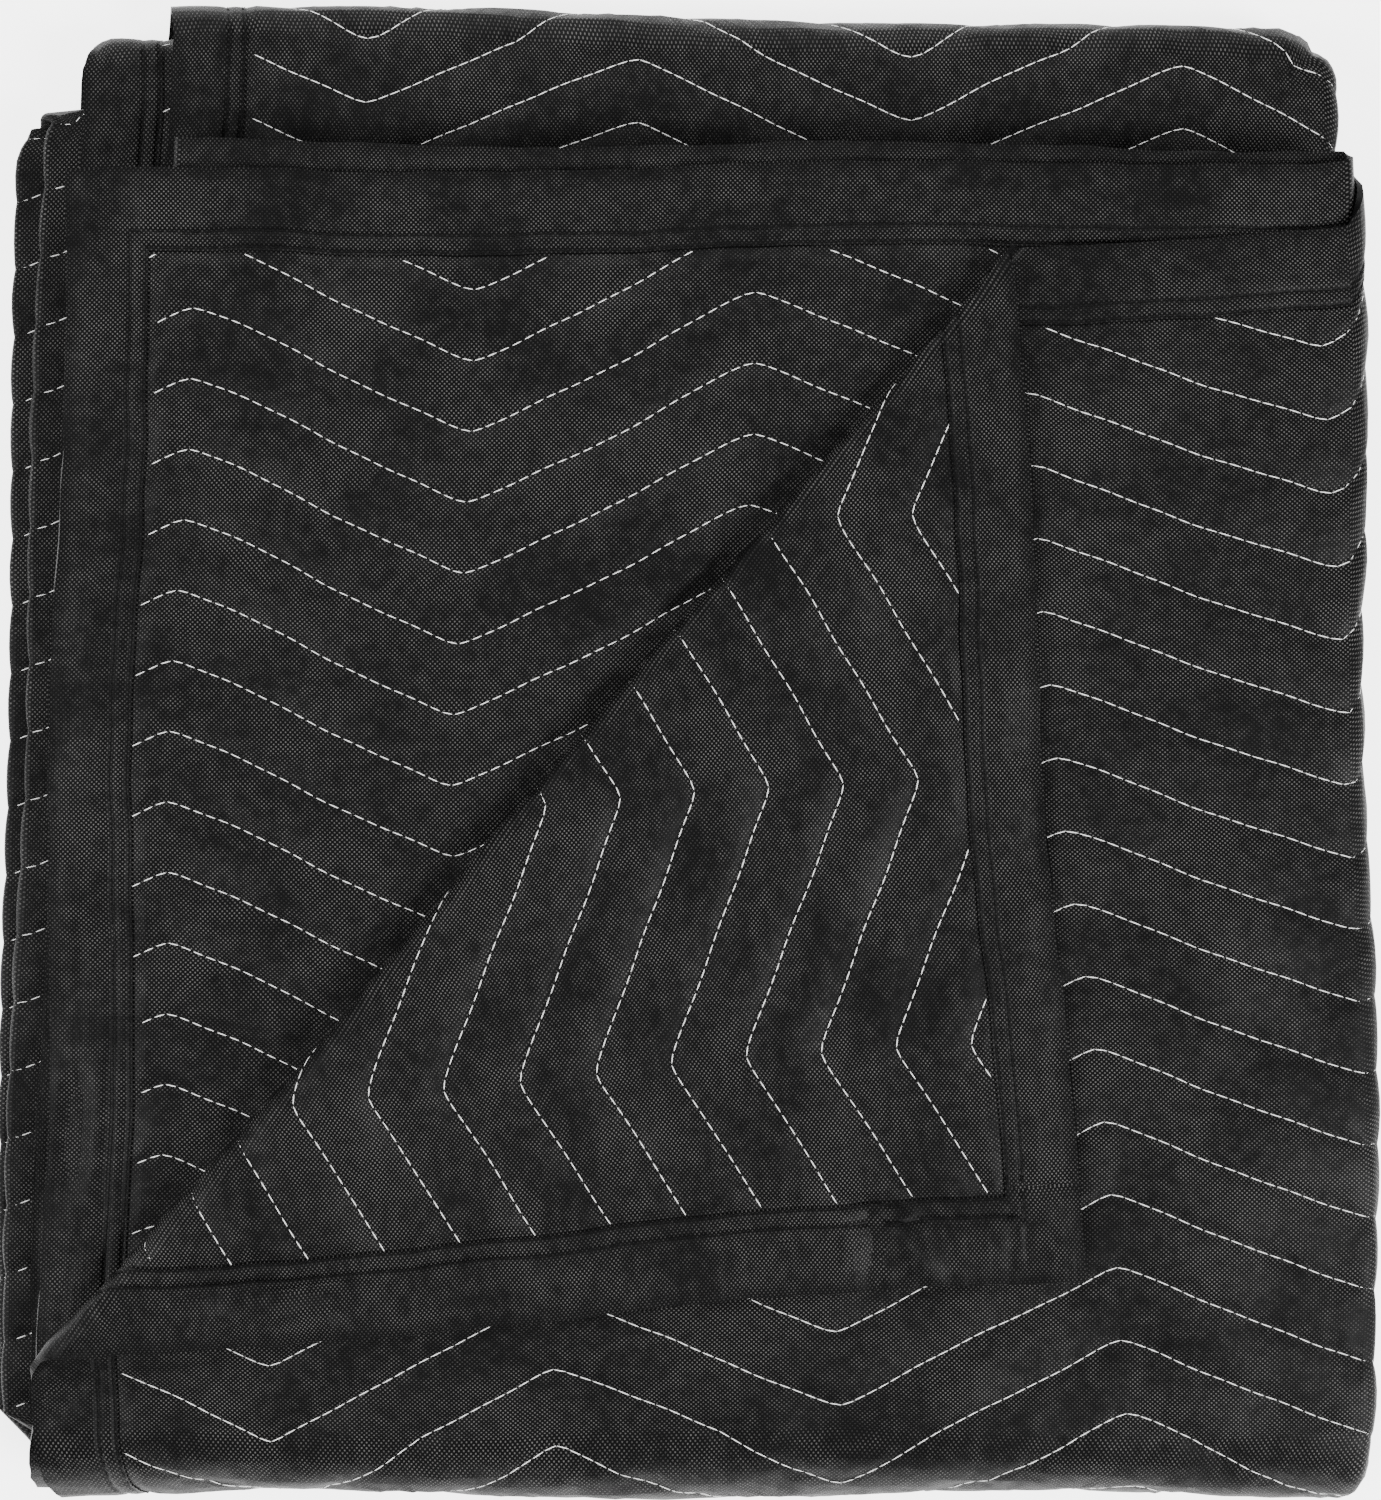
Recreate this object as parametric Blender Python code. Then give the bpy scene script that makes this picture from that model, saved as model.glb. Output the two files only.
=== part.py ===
"""A folded moving pad: one quilted panel and the binding sewn round its edge.

The pad is folded in four from side to side and then in four from top to bottom, so sixteen
layers lie on each other. One corner of the top layer is turned back over a slanting fold.
Metres, +Z up, with the origin on the floor under the middle of the folded pad.
"""

import bisect
import math

import bmesh
import bpy
import numpy as np
from mathutils import Vector

MM = 0.001

# Driving dimensions, in millimetres.
PITCH = 3.4  # from one layer to the next
CREST = 1.4  # half the thickness between two rows of stitches
GROOVE = 0.75  # half the thickness on a row of stitches
HIDDEN = 1.2  # half the thickness inside the stack
EDGE = 0.4  # half the thickness where the binding presses the edge flat
BINDING_WIDTH = 27.0
BINDING_CLOTH = 0.45
BINDING_GAP = 0.3
BINDING_ROOM = 0.9  # past the panel's cut edge, inside the fold of the binding
BINDING_RISE = 3.5  # the panel swells to its full thickness over this distance
FLAT_WIDTH = 440.0  # of one layer before the fold allowance
FLAT_HEIGHT = 430.0
ZIGZAG_SLOPE = 0.455  # of a row of stitches, up to a peak and down to a valley
RUN_PARTS = 3  # each layer's plain part is divided into so many
FOLD_STEPS = 5
MERGE = 0.4  # points of the flat cloth nearer than this are made one
FLAP_RADIUS = (2.6, 4.6)  # of the slanting fold, at its upper and at its lower end
FLAP_STEPS = 4
FLAP_SETTLE = 80.0  # over this distance the turned corner sinks to rest on its own layer
SWAY = 1.5  # how far the edges wander to either side
SWAY_LENGTH = 41.0
SWAY_SHIFT = 11.0  # the layers' edges wander out of step with height
MIDDLE = (-5.5, 2.0)  # the middle of the folded pad's outline, in the layers' own measures

# Where each layer lies, in millimetres: its left and right ends and its upper edge, each at two
# corners. The quarter is counted along the pad's height and the run along its width.
# quarter, run, left at top, left at bottom, right at top, right at bottom, top at left, top at right
LAYERS = (
    (1, 1, -168.0, -186.0, 217.0, 218.0, 203.0, 203.0),
    (1, 2, -168.0, -184.0, 217.0, 218.0, 204.0, 204.0),
    (1, 3, -168.0, -184.0, 217.0, 218.0, 205.0, 205.0),
    (1, 4, -170.0, -188.0, 217.0, 218.0, 202.0, 202.0),
    (2, 1, -215.0, -234.0, 222.0, 222.0, 246.0, 241.0),
    (2, 2, -228.0, -244.0, 222.0, 222.0, 225.5, 233.0),
    (2, 3, -228.0, -244.0, 222.0, 222.0, 225.5, 233.0),
    (2, 4, -183.0, -208.0, 223.0, 222.0, 254.0, 244.0),
    (3, 1, -218.0, -236.0, 221.0, 222.0, 246.0, 241.0),
    (3, 2, -239.0, -247.0, 221.0, 222.0, 225.5, 233.0),
    (3, 3, -239.0, -247.0, 221.0, 222.0, 225.5, 233.0),
    (3, 4, -188.0, -216.0, 222.0, 222.0, 254.0, 244.0),
    (4, 1, -215.0, -225.0, 226.5, 233.0, 198.5, 203.0),
    (4, 2, -177.0, -190.0, 226.5, 233.0, 210.0, 207.5),
    (4, 3, -177.0, -190.0, 226.5, 233.0, 210.0, 206.5),
    (4, 4, -245.0, -224.5, 226.5, 233.0, 149.0, 180.0),
)
BOTTOM = -236.0  # where the straight part of every layer ends, before the round folds
FLAP_LINE = ((111.6, 168.7), (-221.9, -215.6))  # the slanting fold, from its upper end to its lower


class Level:
    """One level of folding: four runs that lie on each other and the three round folds between them."""

    def __init__(self, pitch, length):
        self.pitch = pitch
        self.length = length
        radii = (0.5 * pitch, 0.5 * pitch, 1.5 * pitch)
        self.marks = [0.0]
        for radius in radii:
            self.marks += [self.marks[-1] + length, self.marks[-1] + length + math.pi * radius]
        self.marks.append(self.marks[-1] + length)

    def cuts(self, inner):
        """The places where the flat cloth is divided: the folds in even steps, the runs at the given parts."""
        found = []
        for piece in range(7):
            start, end = self.marks[piece], self.marks[piece + 1]
            if piece % 2:
                found += [start + (end - start) * i / FOLD_STEPS for i in range(FOLD_STEPS)]
            else:
                found += [start] + [start + (end - start) * part for part in inner]
        return found + [self.marks[-1]]

    def at_count(self, count):
        """The place that lies so many runs and folds, counted in turn, along the flat cloth."""
        piece = min(int(count), 6)
        return self.marks[piece] + (self.marks[piece + 1] - self.marks[piece]) * (count - piece)

    def place(self, at):
        """How far a point is along the run (0 at the open side, 1 at the folds), the reach past it, the
        height, the normal (along, height), and the two runs it lies between with the share of each."""
        at = min(max(at, self.marks[0] - 5.0), self.marks[-1] + 5.0)
        piece = 0
        while piece < 6 and at > self.marks[piece + 1]:
            piece += 1
        start, end = self.marks[piece], self.marks[piece + 1]
        part = (at - start) / (end - start)
        heights = (0.5, -0.5, -1.5, 1.5)
        run = piece // 2
        if piece % 2 == 0:
            forward = run % 2 == 0
            along = part if forward else 1.0 - part
            return along, 0.0, heights[run] * self.pitch, (0.0, 1.0 if forward else -1.0), run, run, 0.0
        here, there = heights[run] * self.pitch, heights[run + 1] * self.pitch
        radius = abs(here - there) / 2
        side = 1.0 if run != 1 else -1.0
        sense = 1.0 if here > there else -1.0
        out, over = chord(part, FOLD_STEPS)
        reach = side * radius * out
        height = (here + there) / 2 + sense * radius * over
        return (
            1.0 if side > 0 else 0.0, reach, height, (sense * out, side * over), run, run + 1, part,
        )


def chord(part, steps):
    """The sine and cosine of a part of a half turn, on the straight line between two even steps of it."""
    step = min(int(part * steps), steps - 1)
    share = part * steps - step
    start, end = math.pi * step / steps, math.pi * (step + 1) / steps
    sine = math.sin(start) * (1 - share) + math.sin(end) * share
    return sine, math.cos(start) * (1 - share) + math.cos(end) * share


ACROSS = Level(PITCH, FLAT_WIDTH)
UP = Level(4 * PITCH, FLAT_HEIGHT)
RUN_CUTS = [i / RUN_PARTS for i in range(1, RUN_PARTS)]
U_CUTS = ACROSS.cuts(RUN_CUTS)
V_CUTS = UP.cuts(RUN_CUTS)
MID_HEIGHT = 7.5 * PITCH + HIDDEN
EDGES = {(row[0] - 1, row[1] - 1): row[2:] for row in LAYERS}


def layer_edges(up_place, across_place):
    """The six edge values of the layer at a point, blended where two layers run into each other."""
    total = np.zeros(6)
    for quarter, q_share in ((up_place[4], 1 - up_place[6]), (up_place[5], up_place[6])):
        for run, r_share in ((across_place[4], 1 - across_place[6]), (across_place[5], across_place[6])):
            total += np.array(EDGES[quarter, run]) * (q_share * r_share)
    return total


def lay_straight(u, v):
    """Where the middle of the cloth lies for a place on the flat pad, and its normal, with straight edges."""
    across, up = ACROSS.place(u), UP.place(v)
    left_top, left_low, right_top, right_low, top_left, top_right = layer_edges(up, across)
    x_part, y_part = across[0], 1.0 - up[0]
    left = left_low + (left_top - left_low) * y_part
    right = right_low + (right_top - right_low) * y_part
    top = top_left + (top_right - top_left) * x_part
    x = left + (right - left) * x_part + across[1]
    y = BOTTOM + (top - BOTTOM) * y_part - up[1]
    normal_y, normal_z = up[3][0], -up[3][1]
    point = Vector((x, y + normal_y * across[2], MID_HEIGHT + up[2] + normal_z * across[2]))
    normal = Vector((across[3][0], normal_y * across[3][1], normal_z * across[3][1]))
    return point, normal


SWAYS = {}


def sway_at(i, j):
    """How far the edges wander where two of the cloth's main lines cross."""
    if (i, j) not in SWAYS:
        x, y, z = lay_straight(U_CUTS[i], V_CUTS[j])[0]
        free = min(2 * z / (15 * PITCH), 1.0) * SWAY
        sway_x = free * math.sin(y / SWAY_LENGTH + z / SWAY_SHIFT)
        SWAYS[i, j] = Vector((sway_x, free * math.sin(x / SWAY_LENGTH + z / SWAY_SHIFT + 2.0), 0))
    return SWAYS[i, j]


def between(cuts, at):
    """The number of the line before a place, and the place's part of the way to the next."""
    line = min(max(bisect.bisect_right(cuts, at) - 1, 0), len(cuts) - 2)
    return line, (at - cuts[line]) / (cuts[line + 1] - cuts[line])


def lay(u, v):
    """Where the middle of the cloth lies for a place on the flat pad, and its normal."""
    point, normal = lay_straight(u, v)
    (i, a), (j, b) = between(U_CUTS, u), between(V_CUTS, v)
    low = sway_at(i, j) * (1 - a) + sway_at(i + 1, j) * a
    high = sway_at(i, j + 1) * (1 - a) + sway_at(i + 1, j + 1) * a
    middle = Vector((*MIDDLE, 0))
    return point + low * (1 - b) + high * b - middle, normal


FLAP_START = Vector(FLAP_LINE[0]) - Vector(MIDDLE)
FLAP_END = Vector(FLAP_LINE[1]) - Vector(MIDDLE)
FLAP_ALONG = (FLAP_END - FLAP_START).normalized()
FLAP_OUT = Vector((FLAP_ALONG.y, -FLAP_ALONG.x))  # square to the fold, towards the turned corner


def flap_radius(point):
    """The slanting fold is tight at its upper end and slack at its lower end."""
    share = (point - FLAP_START).dot(FLAP_ALONG) / (FLAP_END - FLAP_START).length
    return FLAP_RADIUS[0] + (FLAP_RADIUS[1] - FLAP_RADIUS[0]) * min(max(share, 0.0), 1.0)


def on_top_layer(u, v):
    return u > ACROSS.marks[6] and v > UP.marks[6]


def turn_corner(point, normal):
    """Rolls the part of the top layer that lies past the slanting fold over onto the layer itself."""
    past = (point.xy - FLAP_START).dot(FLAP_OUT)
    if past <= 0:
        return point, normal
    foot = point.xy - FLAP_OUT * past
    radius = flap_radius(point.xy)
    sine, cosine = chord(min(past / (math.pi * radius), 1.0), FLAP_STEPS)
    beyond = max(past - math.pi * radius, 0.0)
    sunk = (2 * radius - PITCH) * min(beyond / FLAP_SETTLE, 1.0)
    flat = foot + FLAP_OUT * (radius * sine - beyond)
    height = point.z + radius * (1 - cosine) - sunk
    tilt = Vector((*(FLAP_OUT * -sine * normal.z), normal.z * cosine))
    return Vector((*flat, height)), tilt


# Quilting on what shows. The place across is that of a peak on the given row, the lean says how
# far the peaks move sideways from one row to the next for each millimetre of height, and the tilt
# how far a row climbs for each millimetre across. The last four say where the patch starts and ends
# across and up: the whole number counts runs and folds in turn, and the rest is a part of one.
# quarter, run, place across, height of the row, peak to valley, between rows, lean, tilt, ...
QUILTED = (
    (4, 4, 115.9, 146.9, 100.0, 25.2, -0.085, 0.07, 5.4, 7.0, 5.4, 7.0),
    (4, 1, -171.0, 151.5, 95.3, 24.1, 0.018, 0.02, 0.0, 1.0, 5.4, 7.0),
    (2, 4, -18.6, 245.0, 95.3, 22.8, 0.0, 0.0, 5.4, 7.0, 2 + 2 / 3, 3.6),
    (2, 2, -140.0, 100.0, 95.3, 24.4, 0.01, 0.0, 2 + 2 / 3, 3.4, 2.0, 3.0),
    (3, 3, -150.0, 120.0, 95.3, 24.4, 0.01, 0.0, 3.6, 4 + 1 / 3, 4.0, 5.0),
)


class Quilting:
    """The zigzag rows on one patch of the cloth, in the flat cloth's own measures."""

    def __init__(self, quarter, run, peak, row, half, pitch, lean, tilt, *reach):
        left_top, left_low, right_top, right_low, top_left, top_right = EDGES[quarter - 1, run - 1]
        left, right = (left_top + left_low) / 2, (right_top + right_low) / 2
        top = (top_left + top_right) / 2
        u_start, v_start = ACROSS.marks[2 * run - 2], UP.marks[2 * quarter - 2]
        u_sense = 1 if run % 2 == 1 else -1
        self.v_sense = 1 if quarter % 2 == 0 else -1
        per_u = FLAT_WIDTH / (right - left)
        per_v = FLAT_HEIGHT / (top - BOTTOM)
        self.half = half * per_u
        self.drop = half * ZIGZAG_SLOPE * per_v
        self.pitch = pitch * per_v
        self.lean = lean * u_sense * self.v_sense * per_u / per_v
        self.tilt = tilt * u_sense * self.v_sense * per_v / per_u
        share = (peak - left) / (right - left)
        self.u_peak = u_start + FLAT_WIDTH * (share if u_sense > 0 else 1 - share)
        rise = (row - BOTTOM) / (top - BOTTOM)
        self.v_row = v_start + FLAT_HEIGHT * (rise if self.v_sense > 0 else 1 - rise)
        self.u_start, self.u_end = ACROSS.at_count(reach[0]), ACROSS.at_count(reach[1])
        self.v_start, self.v_end = UP.at_count(reach[2]), UP.at_count(reach[3])

    def upright(self, u, v):
        """The place across, counted along the line on which the rows turn."""
        return u - self.lean * (v - self.v_row)

    def row_height(self, across):
        """How far up the row that peaks at v_row lies at this upright place across."""
        away = abs((across - self.u_peak) / self.half) % 2.0
        away = away if away <= 1.0 else 2.0 - away
        return self.v_row - away * self.drop * self.v_sense + self.tilt * (across - self.u_peak)

    def holds(self, u, v):
        near = 1e-3
        in_u = self.u_start - near <= u <= self.u_end + near
        return in_u and self.v_start - near <= v <= self.v_end + near

    def half_thickness(self, u, v):
        phase = (v - self.row_height(self.upright(u, v))) / self.pitch
        return GROOVE + (CREST - GROOVE) * abs(math.sin(math.pi * phase)) ** 0.8

    def turns(self):
        """The upright places across where the rows turn, and one past each end of the layer."""
        reach = abs(self.lean) * FLAT_HEIGHT * 1.2
        first = math.floor((self.u_start - reach - self.u_peak) / self.half)
        last = math.ceil((self.u_end + reach - self.u_peak) / self.half)
        return [self.u_peak + self.half * i for i in range(first, last + 1)]


QUILTS = [Quilting(*row) for row in QUILTED]


def edge_distance(u, v):
    return min(u, ACROSS.marks[-1] - u, v, UP.marks[-1] - v)


def half_thickness(u, v):
    """Half the panel's thickness: pressed flat under the binding, swelling between the rows elsewhere."""
    inner = next((quilt.half_thickness(u, v) for quilt in QUILTS if quilt.holds(u, v)), HIDDEN)
    share = (edge_distance(u, v) - BINDING_WIDTH - BINDING_GAP) / BINDING_RISE
    return EDGE + (inner - EDGE) * min(max(share, 0.0), 1.0)


def faces_within(bm, test):
    return [face for face in bm.faces if test(face.calc_center_median())]


def cut(bm, geometry, at, square_to):
    result = bmesh.ops.bisect_plane(
        bm, geom=geometry, dist=1e-4, plane_co=at, plane_no=square_to, clear_inner=False, clear_outer=False
    )
    return result["geom"]


def around(faces):
    """The faces with their edges and points, as the cut takes them."""
    edges = {edge for face in faces for edge in face.edges}
    points = {point for face in faces for point in face.verts}
    return list(faces) + list(edges) + list(points)


def cut_rows(bm, quilt):
    """Divides the patch along every row of stitches and along the crest between two rows."""

    def inside(centre):
        return quilt.holds(centre.x, centre.y) and edge_distance(centre.x, centre.y) > BINDING_WIDTH

    turns = quilt.turns()
    for turn in turns:
        cut(bm, around(faces_within(bm, inside)), (turn, quilt.v_row, 0), (1, -quilt.lean, 0))
    for start, end in zip(turns, turns[1:]):
        strip = faces_within(bm, lambda c: inside(c) and start < quilt.upright(c.x, c.y) < end)
        if not strip:
            continue
        geometry = around(strip)
        near, far = quilt.row_height(start), quilt.row_height(end)
        lowest, highest = min(near, far), max(near, far)
        first = math.floor((quilt.v_start - highest) / (quilt.pitch / 2))
        last = math.ceil((quilt.v_end - lowest) / (quilt.pitch / 2))
        for row in range(first, last + 1):
            shift = row * quilt.pitch / 2
            here = Vector((start + quilt.lean * (near + shift - quilt.v_row), near + shift, 0))
            there = Vector((end + quilt.lean * (far + shift - quilt.v_row), far + shift, 0))
            slope = there - here
            geometry = cut(bm, geometry, here, (-slope.y, slope.x, 0))


def grid(us, vs, keep):
    """The flat cloth as a mesh of oblong faces, of those that keep accepts."""
    bm = bmesh.new()
    corners = {}

    def corner(i, j):
        if (i, j) not in corners:
            corners[i, j] = bm.verts.new((us[i], vs[j], 0))
        return corners[i, j]

    for i in range(len(us) - 1):
        for j in range(len(vs) - 1):
            if keep((us[i] + us[i + 1]) / 2, (vs[j] + vs[j + 1]) / 2):
                bm.faces.new([corner(i, j), corner(i + 1, j), corner(i + 1, j + 1), corner(i, j + 1)])
    return bm


def cut_for_flap(bm):
    """Divides the top layer along the slanting fold, so that it can turn in even steps."""
    places = bm.verts.layers.float_vector.new("flat")
    for vert in bm.verts:
        vert[places] = vert.co
    top = faces_within(bm, lambda c: on_top_layer(c.x, c.y))
    for vert in {vert for face in top for vert in face.verts}:
        point, _ = lay(vert.co.x, vert.co.y)
        vert.co = (point.x, point.y, 0)
    geometry = around(top)
    lines = [(i / FLAP_STEPS, 0.0) for i in range(FLAP_STEPS + 1)]
    for turn, more in [*lines, (1.0, FLAP_SETTLE)]:
        here = FLAP_START + FLAP_OUT * (math.pi * FLAP_RADIUS[0] * turn + more)
        there = FLAP_END + FLAP_OUT * (math.pi * FLAP_RADIUS[1] * turn + more)
        along = there - here
        geometry = cut(bm, geometry, (here.x, here.y, 0), (along.y, -along.x, 0))
    for vert in bm.verts:
        vert.co = vert[places]
    bmesh.ops.remove_doubles(bm, verts=bm.verts[:], dist=MERGE)
    bmesh.ops.dissolve_degenerate(bm, edges=bm.edges[:], dist=MERGE / 10)
    flat = {vert: vert.co.copy() for vert in bm.verts}
    bmesh.ops.triangulate(bm, faces=bm.faces[:], quad_method="FIXED")
    bm.verts.index_update()
    return flat


def folded(place):
    point, normal = lay(place.x, place.y)
    if on_top_layer(place.x, place.y):
        point, normal = turn_corner(point, normal)
    return point, normal.normalized()


class Skin:
    """The flat mesh laid in its folds, some distance above or below the middle of the cloth."""

    def __init__(self, solid, laid, offset):
        self.points = {}
        for vert, (point, normal) in laid.items():
            self.points[vert] = solid.verts.new((point + normal * offset(vert)) * MM)

    def cover(self, solid, faces, upward):
        for face in faces:
            ring = [self.points[vert] for vert in face.verts]
            solid.faces.new(ring if upward else ring[::-1])


def rim(faces):
    """The edges on the outline of these faces, each with its face on the left."""
    inside = set(faces)
    for face in faces:
        for loop in face.loops:
            if sum(other in inside for other in loop.edge.link_faces) == 1:
                yield loop.vert, loop.link_loop_next.vert


def wall(solid, upper, lower, edge):
    a, b = edge
    solid.faces.new([upper.points[b], upper.points[a], lower.points[a], lower.points[b]])


def finish(solid, name, colour, roughness):
    mesh = bpy.data.meshes.new(name)
    solid.to_mesh(mesh)
    solid.free()
    material = bpy.data.materials.new(name)
    material.use_nodes = True
    shader = material.node_tree.nodes["Principled BSDF"]
    shader.inputs["Base Color"].default_value = (*colour, 1)
    shader.inputs["Roughness"].default_value = roughness
    shader.inputs["Metallic"].default_value = 0.0
    mesh.materials.append(material)
    piece = bpy.data.objects.new(name, mesh)
    bpy.context.scene.collection.objects.link(piece)
    return piece


def zone(cuts, marks):
    """The cuts with a few more beside both ends of the cloth."""
    total = cuts[-1]
    return sorted(set(cuts) | {total - mark for mark in marks} | set(marks))


def make_panel():
    """The quilted cloth: two faces with the fill between them, as one closed solid."""
    marks = (BINDING_WIDTH + BINDING_GAP, BINDING_WIDTH + BINDING_GAP + BINDING_RISE)
    across = zone(U_CUTS, marks)
    up = zone(V_CUTS, marks)
    bm = grid(across, up, lambda u, v: True)
    for quilt in QUILTS:
        cut_rows(bm, quilt)
    flat = cut_for_flap(bm)
    laid = {vert: folded(place) for vert, place in flat.items()}
    solid = bmesh.new()
    upper = Skin(solid, laid, lambda vert: half_thickness(flat[vert].x, flat[vert].y))
    lower = Skin(solid, laid, lambda vert: -half_thickness(flat[vert].x, flat[vert].y))
    faces = bm.faces[:]
    upper.cover(solid, faces, True)
    lower.cover(solid, faces, False)
    for edge in rim(faces):
        wall(solid, upper, lower, edge)
    bm.free()
    return finish(solid, "quilted_panel", (0.012, 0.012, 0.013), 0.62)


def make_binding():
    """The strip folded over the panel's edge all round, open towards the middle of the cloth."""
    ends = (-BINDING_ROOM - BINDING_CLOTH, -BINDING_ROOM)
    across = zone(U_CUTS, (BINDING_WIDTH,))
    up = zone(V_CUTS, (BINDING_WIDTH,))
    across = list(ends) + across[1:-1] + [ACROSS.marks[-1] - end for end in reversed(ends)]
    up = list(ends) + up[1:-1] + [UP.marks[-1] - end for end in reversed(ends)]
    bm = grid(across, up, lambda u, v: edge_distance(u, v) < BINDING_WIDTH)
    flat = cut_for_flap(bm)
    laid = {vert: folded(place) for vert, place in flat.items()}
    inner, outer = EDGE + BINDING_GAP, EDGE + BINDING_GAP + BINDING_CLOTH
    solid = bmesh.new()
    skins = [Skin(solid, laid, lambda vert, h=h: h) for h in (outer, inner, -inner, -outer)]
    faces = bm.faces[:]
    slot = [face for face in faces if edge_distance(*face.calc_center_median().xy) > -BINDING_ROOM]
    skins[0].cover(solid, faces, True)
    skins[1].cover(solid, slot, False)
    skins[2].cover(solid, slot, True)
    skins[3].cover(solid, faces, False)
    for edge in rim(faces):
        if edge_distance(*flat[edge[0]].xy) > 0:
            wall(solid, skins[0], skins[1], edge)
            wall(solid, skins[2], skins[3], edge)
        else:
            wall(solid, skins[0], skins[3], edge)
    for a, b in rim(slot):
        if edge_distance(*flat[a].xy) < 0:
            wall(solid, skins[1], skins[2], (b, a))
    bmesh.ops.delete(solid, geom=[v for v in solid.verts if not v.link_faces], context="VERTS")
    bm.free()
    return finish(solid, "edge_binding", (0.014, 0.013, 0.013), 0.5)


for old in list(bpy.data.objects):
    bpy.data.objects.remove(old, do_unlink=True)
make_panel()
make_binding()
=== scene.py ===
"""Studio scene of a folded moving pad: the quilted cloth, the binding round its edge and all sewing.

Lengths in the classes are millimetres on the folded pad, and meshes are written in metres. A place
on the flat, unfolded cloth is called (u, v): u runs across the pad and v runs up it.
"""

from __future__ import annotations

import logging
import math
from collections.abc import Callable, Iterable, Sequence
from dataclasses import dataclass, field
from enum import Enum
from functools import partial
from typing import NamedTuple

import bmesh
import bpy
import numpy as np
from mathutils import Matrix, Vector


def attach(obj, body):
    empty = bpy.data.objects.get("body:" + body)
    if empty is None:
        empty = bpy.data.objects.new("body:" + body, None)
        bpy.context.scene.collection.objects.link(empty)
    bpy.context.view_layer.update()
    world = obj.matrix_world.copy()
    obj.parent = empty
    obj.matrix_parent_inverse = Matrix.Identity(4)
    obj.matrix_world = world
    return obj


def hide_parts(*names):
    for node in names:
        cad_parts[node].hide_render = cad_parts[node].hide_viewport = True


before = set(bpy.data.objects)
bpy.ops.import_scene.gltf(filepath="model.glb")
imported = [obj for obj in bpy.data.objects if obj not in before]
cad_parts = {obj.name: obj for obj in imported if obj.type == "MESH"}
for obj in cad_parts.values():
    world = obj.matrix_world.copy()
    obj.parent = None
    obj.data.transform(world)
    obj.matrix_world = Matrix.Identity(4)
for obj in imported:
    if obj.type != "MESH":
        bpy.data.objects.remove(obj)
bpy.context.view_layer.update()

LOG = logging.getLogger("moving_pad")
MIDDLE = (-5.5, 2.0)  # the middle of the pad's outline, in the layers' own measures
MM = 0.001
AXES = (Vector((1, 0, 0)), Vector((0, 1, 0)))
PHOTO_WIDTH = 1381
PHOTO_HEIGHT = 1500
MM_PER_PIXEL = 0.344


def from_photo(across: float, down: float) -> Vector:
    """The place on the pad's top, in millimetres, of a pixel of the photograph."""
    return Vector(((across - PHOTO_WIDTH / 2) * MM_PER_PIXEL, (PHOTO_HEIGHT / 2 - down) * MM_PER_PIXEL))


def smooth_step(value: np.ndarray | float) -> np.ndarray | float:
    """Eases from 0 to 1 without a corner at either end."""
    part = np.clip(value, 0.0, 1.0)
    return part * part * (3 - 2 * part)


class Waves(NamedTuple):
    """Soft, irregular waves, a sum of some plain ones.

    The length is the usual distance from one crest to the next, and the seed picks one of many such fields.
    """

    height: float
    length: float
    seed: int
    count: int = 7
    stretch: tuple[float, float] = (0.7, 1.6)
    share: float = 0.8

    def at(self, x: np.ndarray, y: np.ndarray) -> np.ndarray:
        """The height of the waves at each place.

        Args:
            x: Places across, in millimetres.
            y: Places up, in millimetres.

        Returns:
            Heights that seldom pass the waves' own height.
        """
        chance = np.random.RandomState(self.seed)
        turns, phases = (chance.uniform(0, math.tau, self.count) for _ in range(2))
        total = np.zeros_like(np.asarray(x, float))
        for turn, phase, stretch in zip(turns, phases, chance.uniform(*self.stretch, self.count)):
            reach = (x * math.cos(turn) + y * math.sin(turn)) * math.tau / (self.length * stretch)
            total = total + np.sin(reach + phase)
        return total / math.sqrt(self.count) * self.share * self.height


def add_object(name: str, data: bpy.types.ID) -> bpy.types.Object:
    """Adds an object with this data to the scene, at the origin."""
    made = bpy.data.objects.new(name, data)
    bpy.context.scene.collection.objects.link(made)
    return made


def made_mesh(bm: bmesh.types.BMesh, name: str) -> bpy.types.Mesh:
    """Turns a working mesh into a finished one."""
    mesh = bpy.data.meshes.new(name)
    bm.to_mesh(mesh)
    bm.free()
    return mesh


def take_in(bm: bmesh.types.BMesh, other: bmesh.types.BMesh) -> None:
    """Adds all of another working mesh to the first."""
    mesh = made_mesh(other, "piece")
    bm.from_mesh(mesh)
    bpy.data.meshes.remove(mesh)


def shade_smooth(mesh: bpy.types.Mesh) -> None:
    """Shades every face smoothly."""
    mesh.polygons.foreach_set("use_smooth", np.ones(len(mesh.polygons), bool))


class Side(Enum):
    """The two faces of the cloth."""

    FRONT = 1
    BACK = -1


class LayerEdges(NamedTuple):
    """Where one layer of the folded pad ends."""

    quarter: int
    run: int
    left_top: float
    left_low: float
    right_top: float
    right_low: float
    top_left: float
    top_right: float


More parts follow.
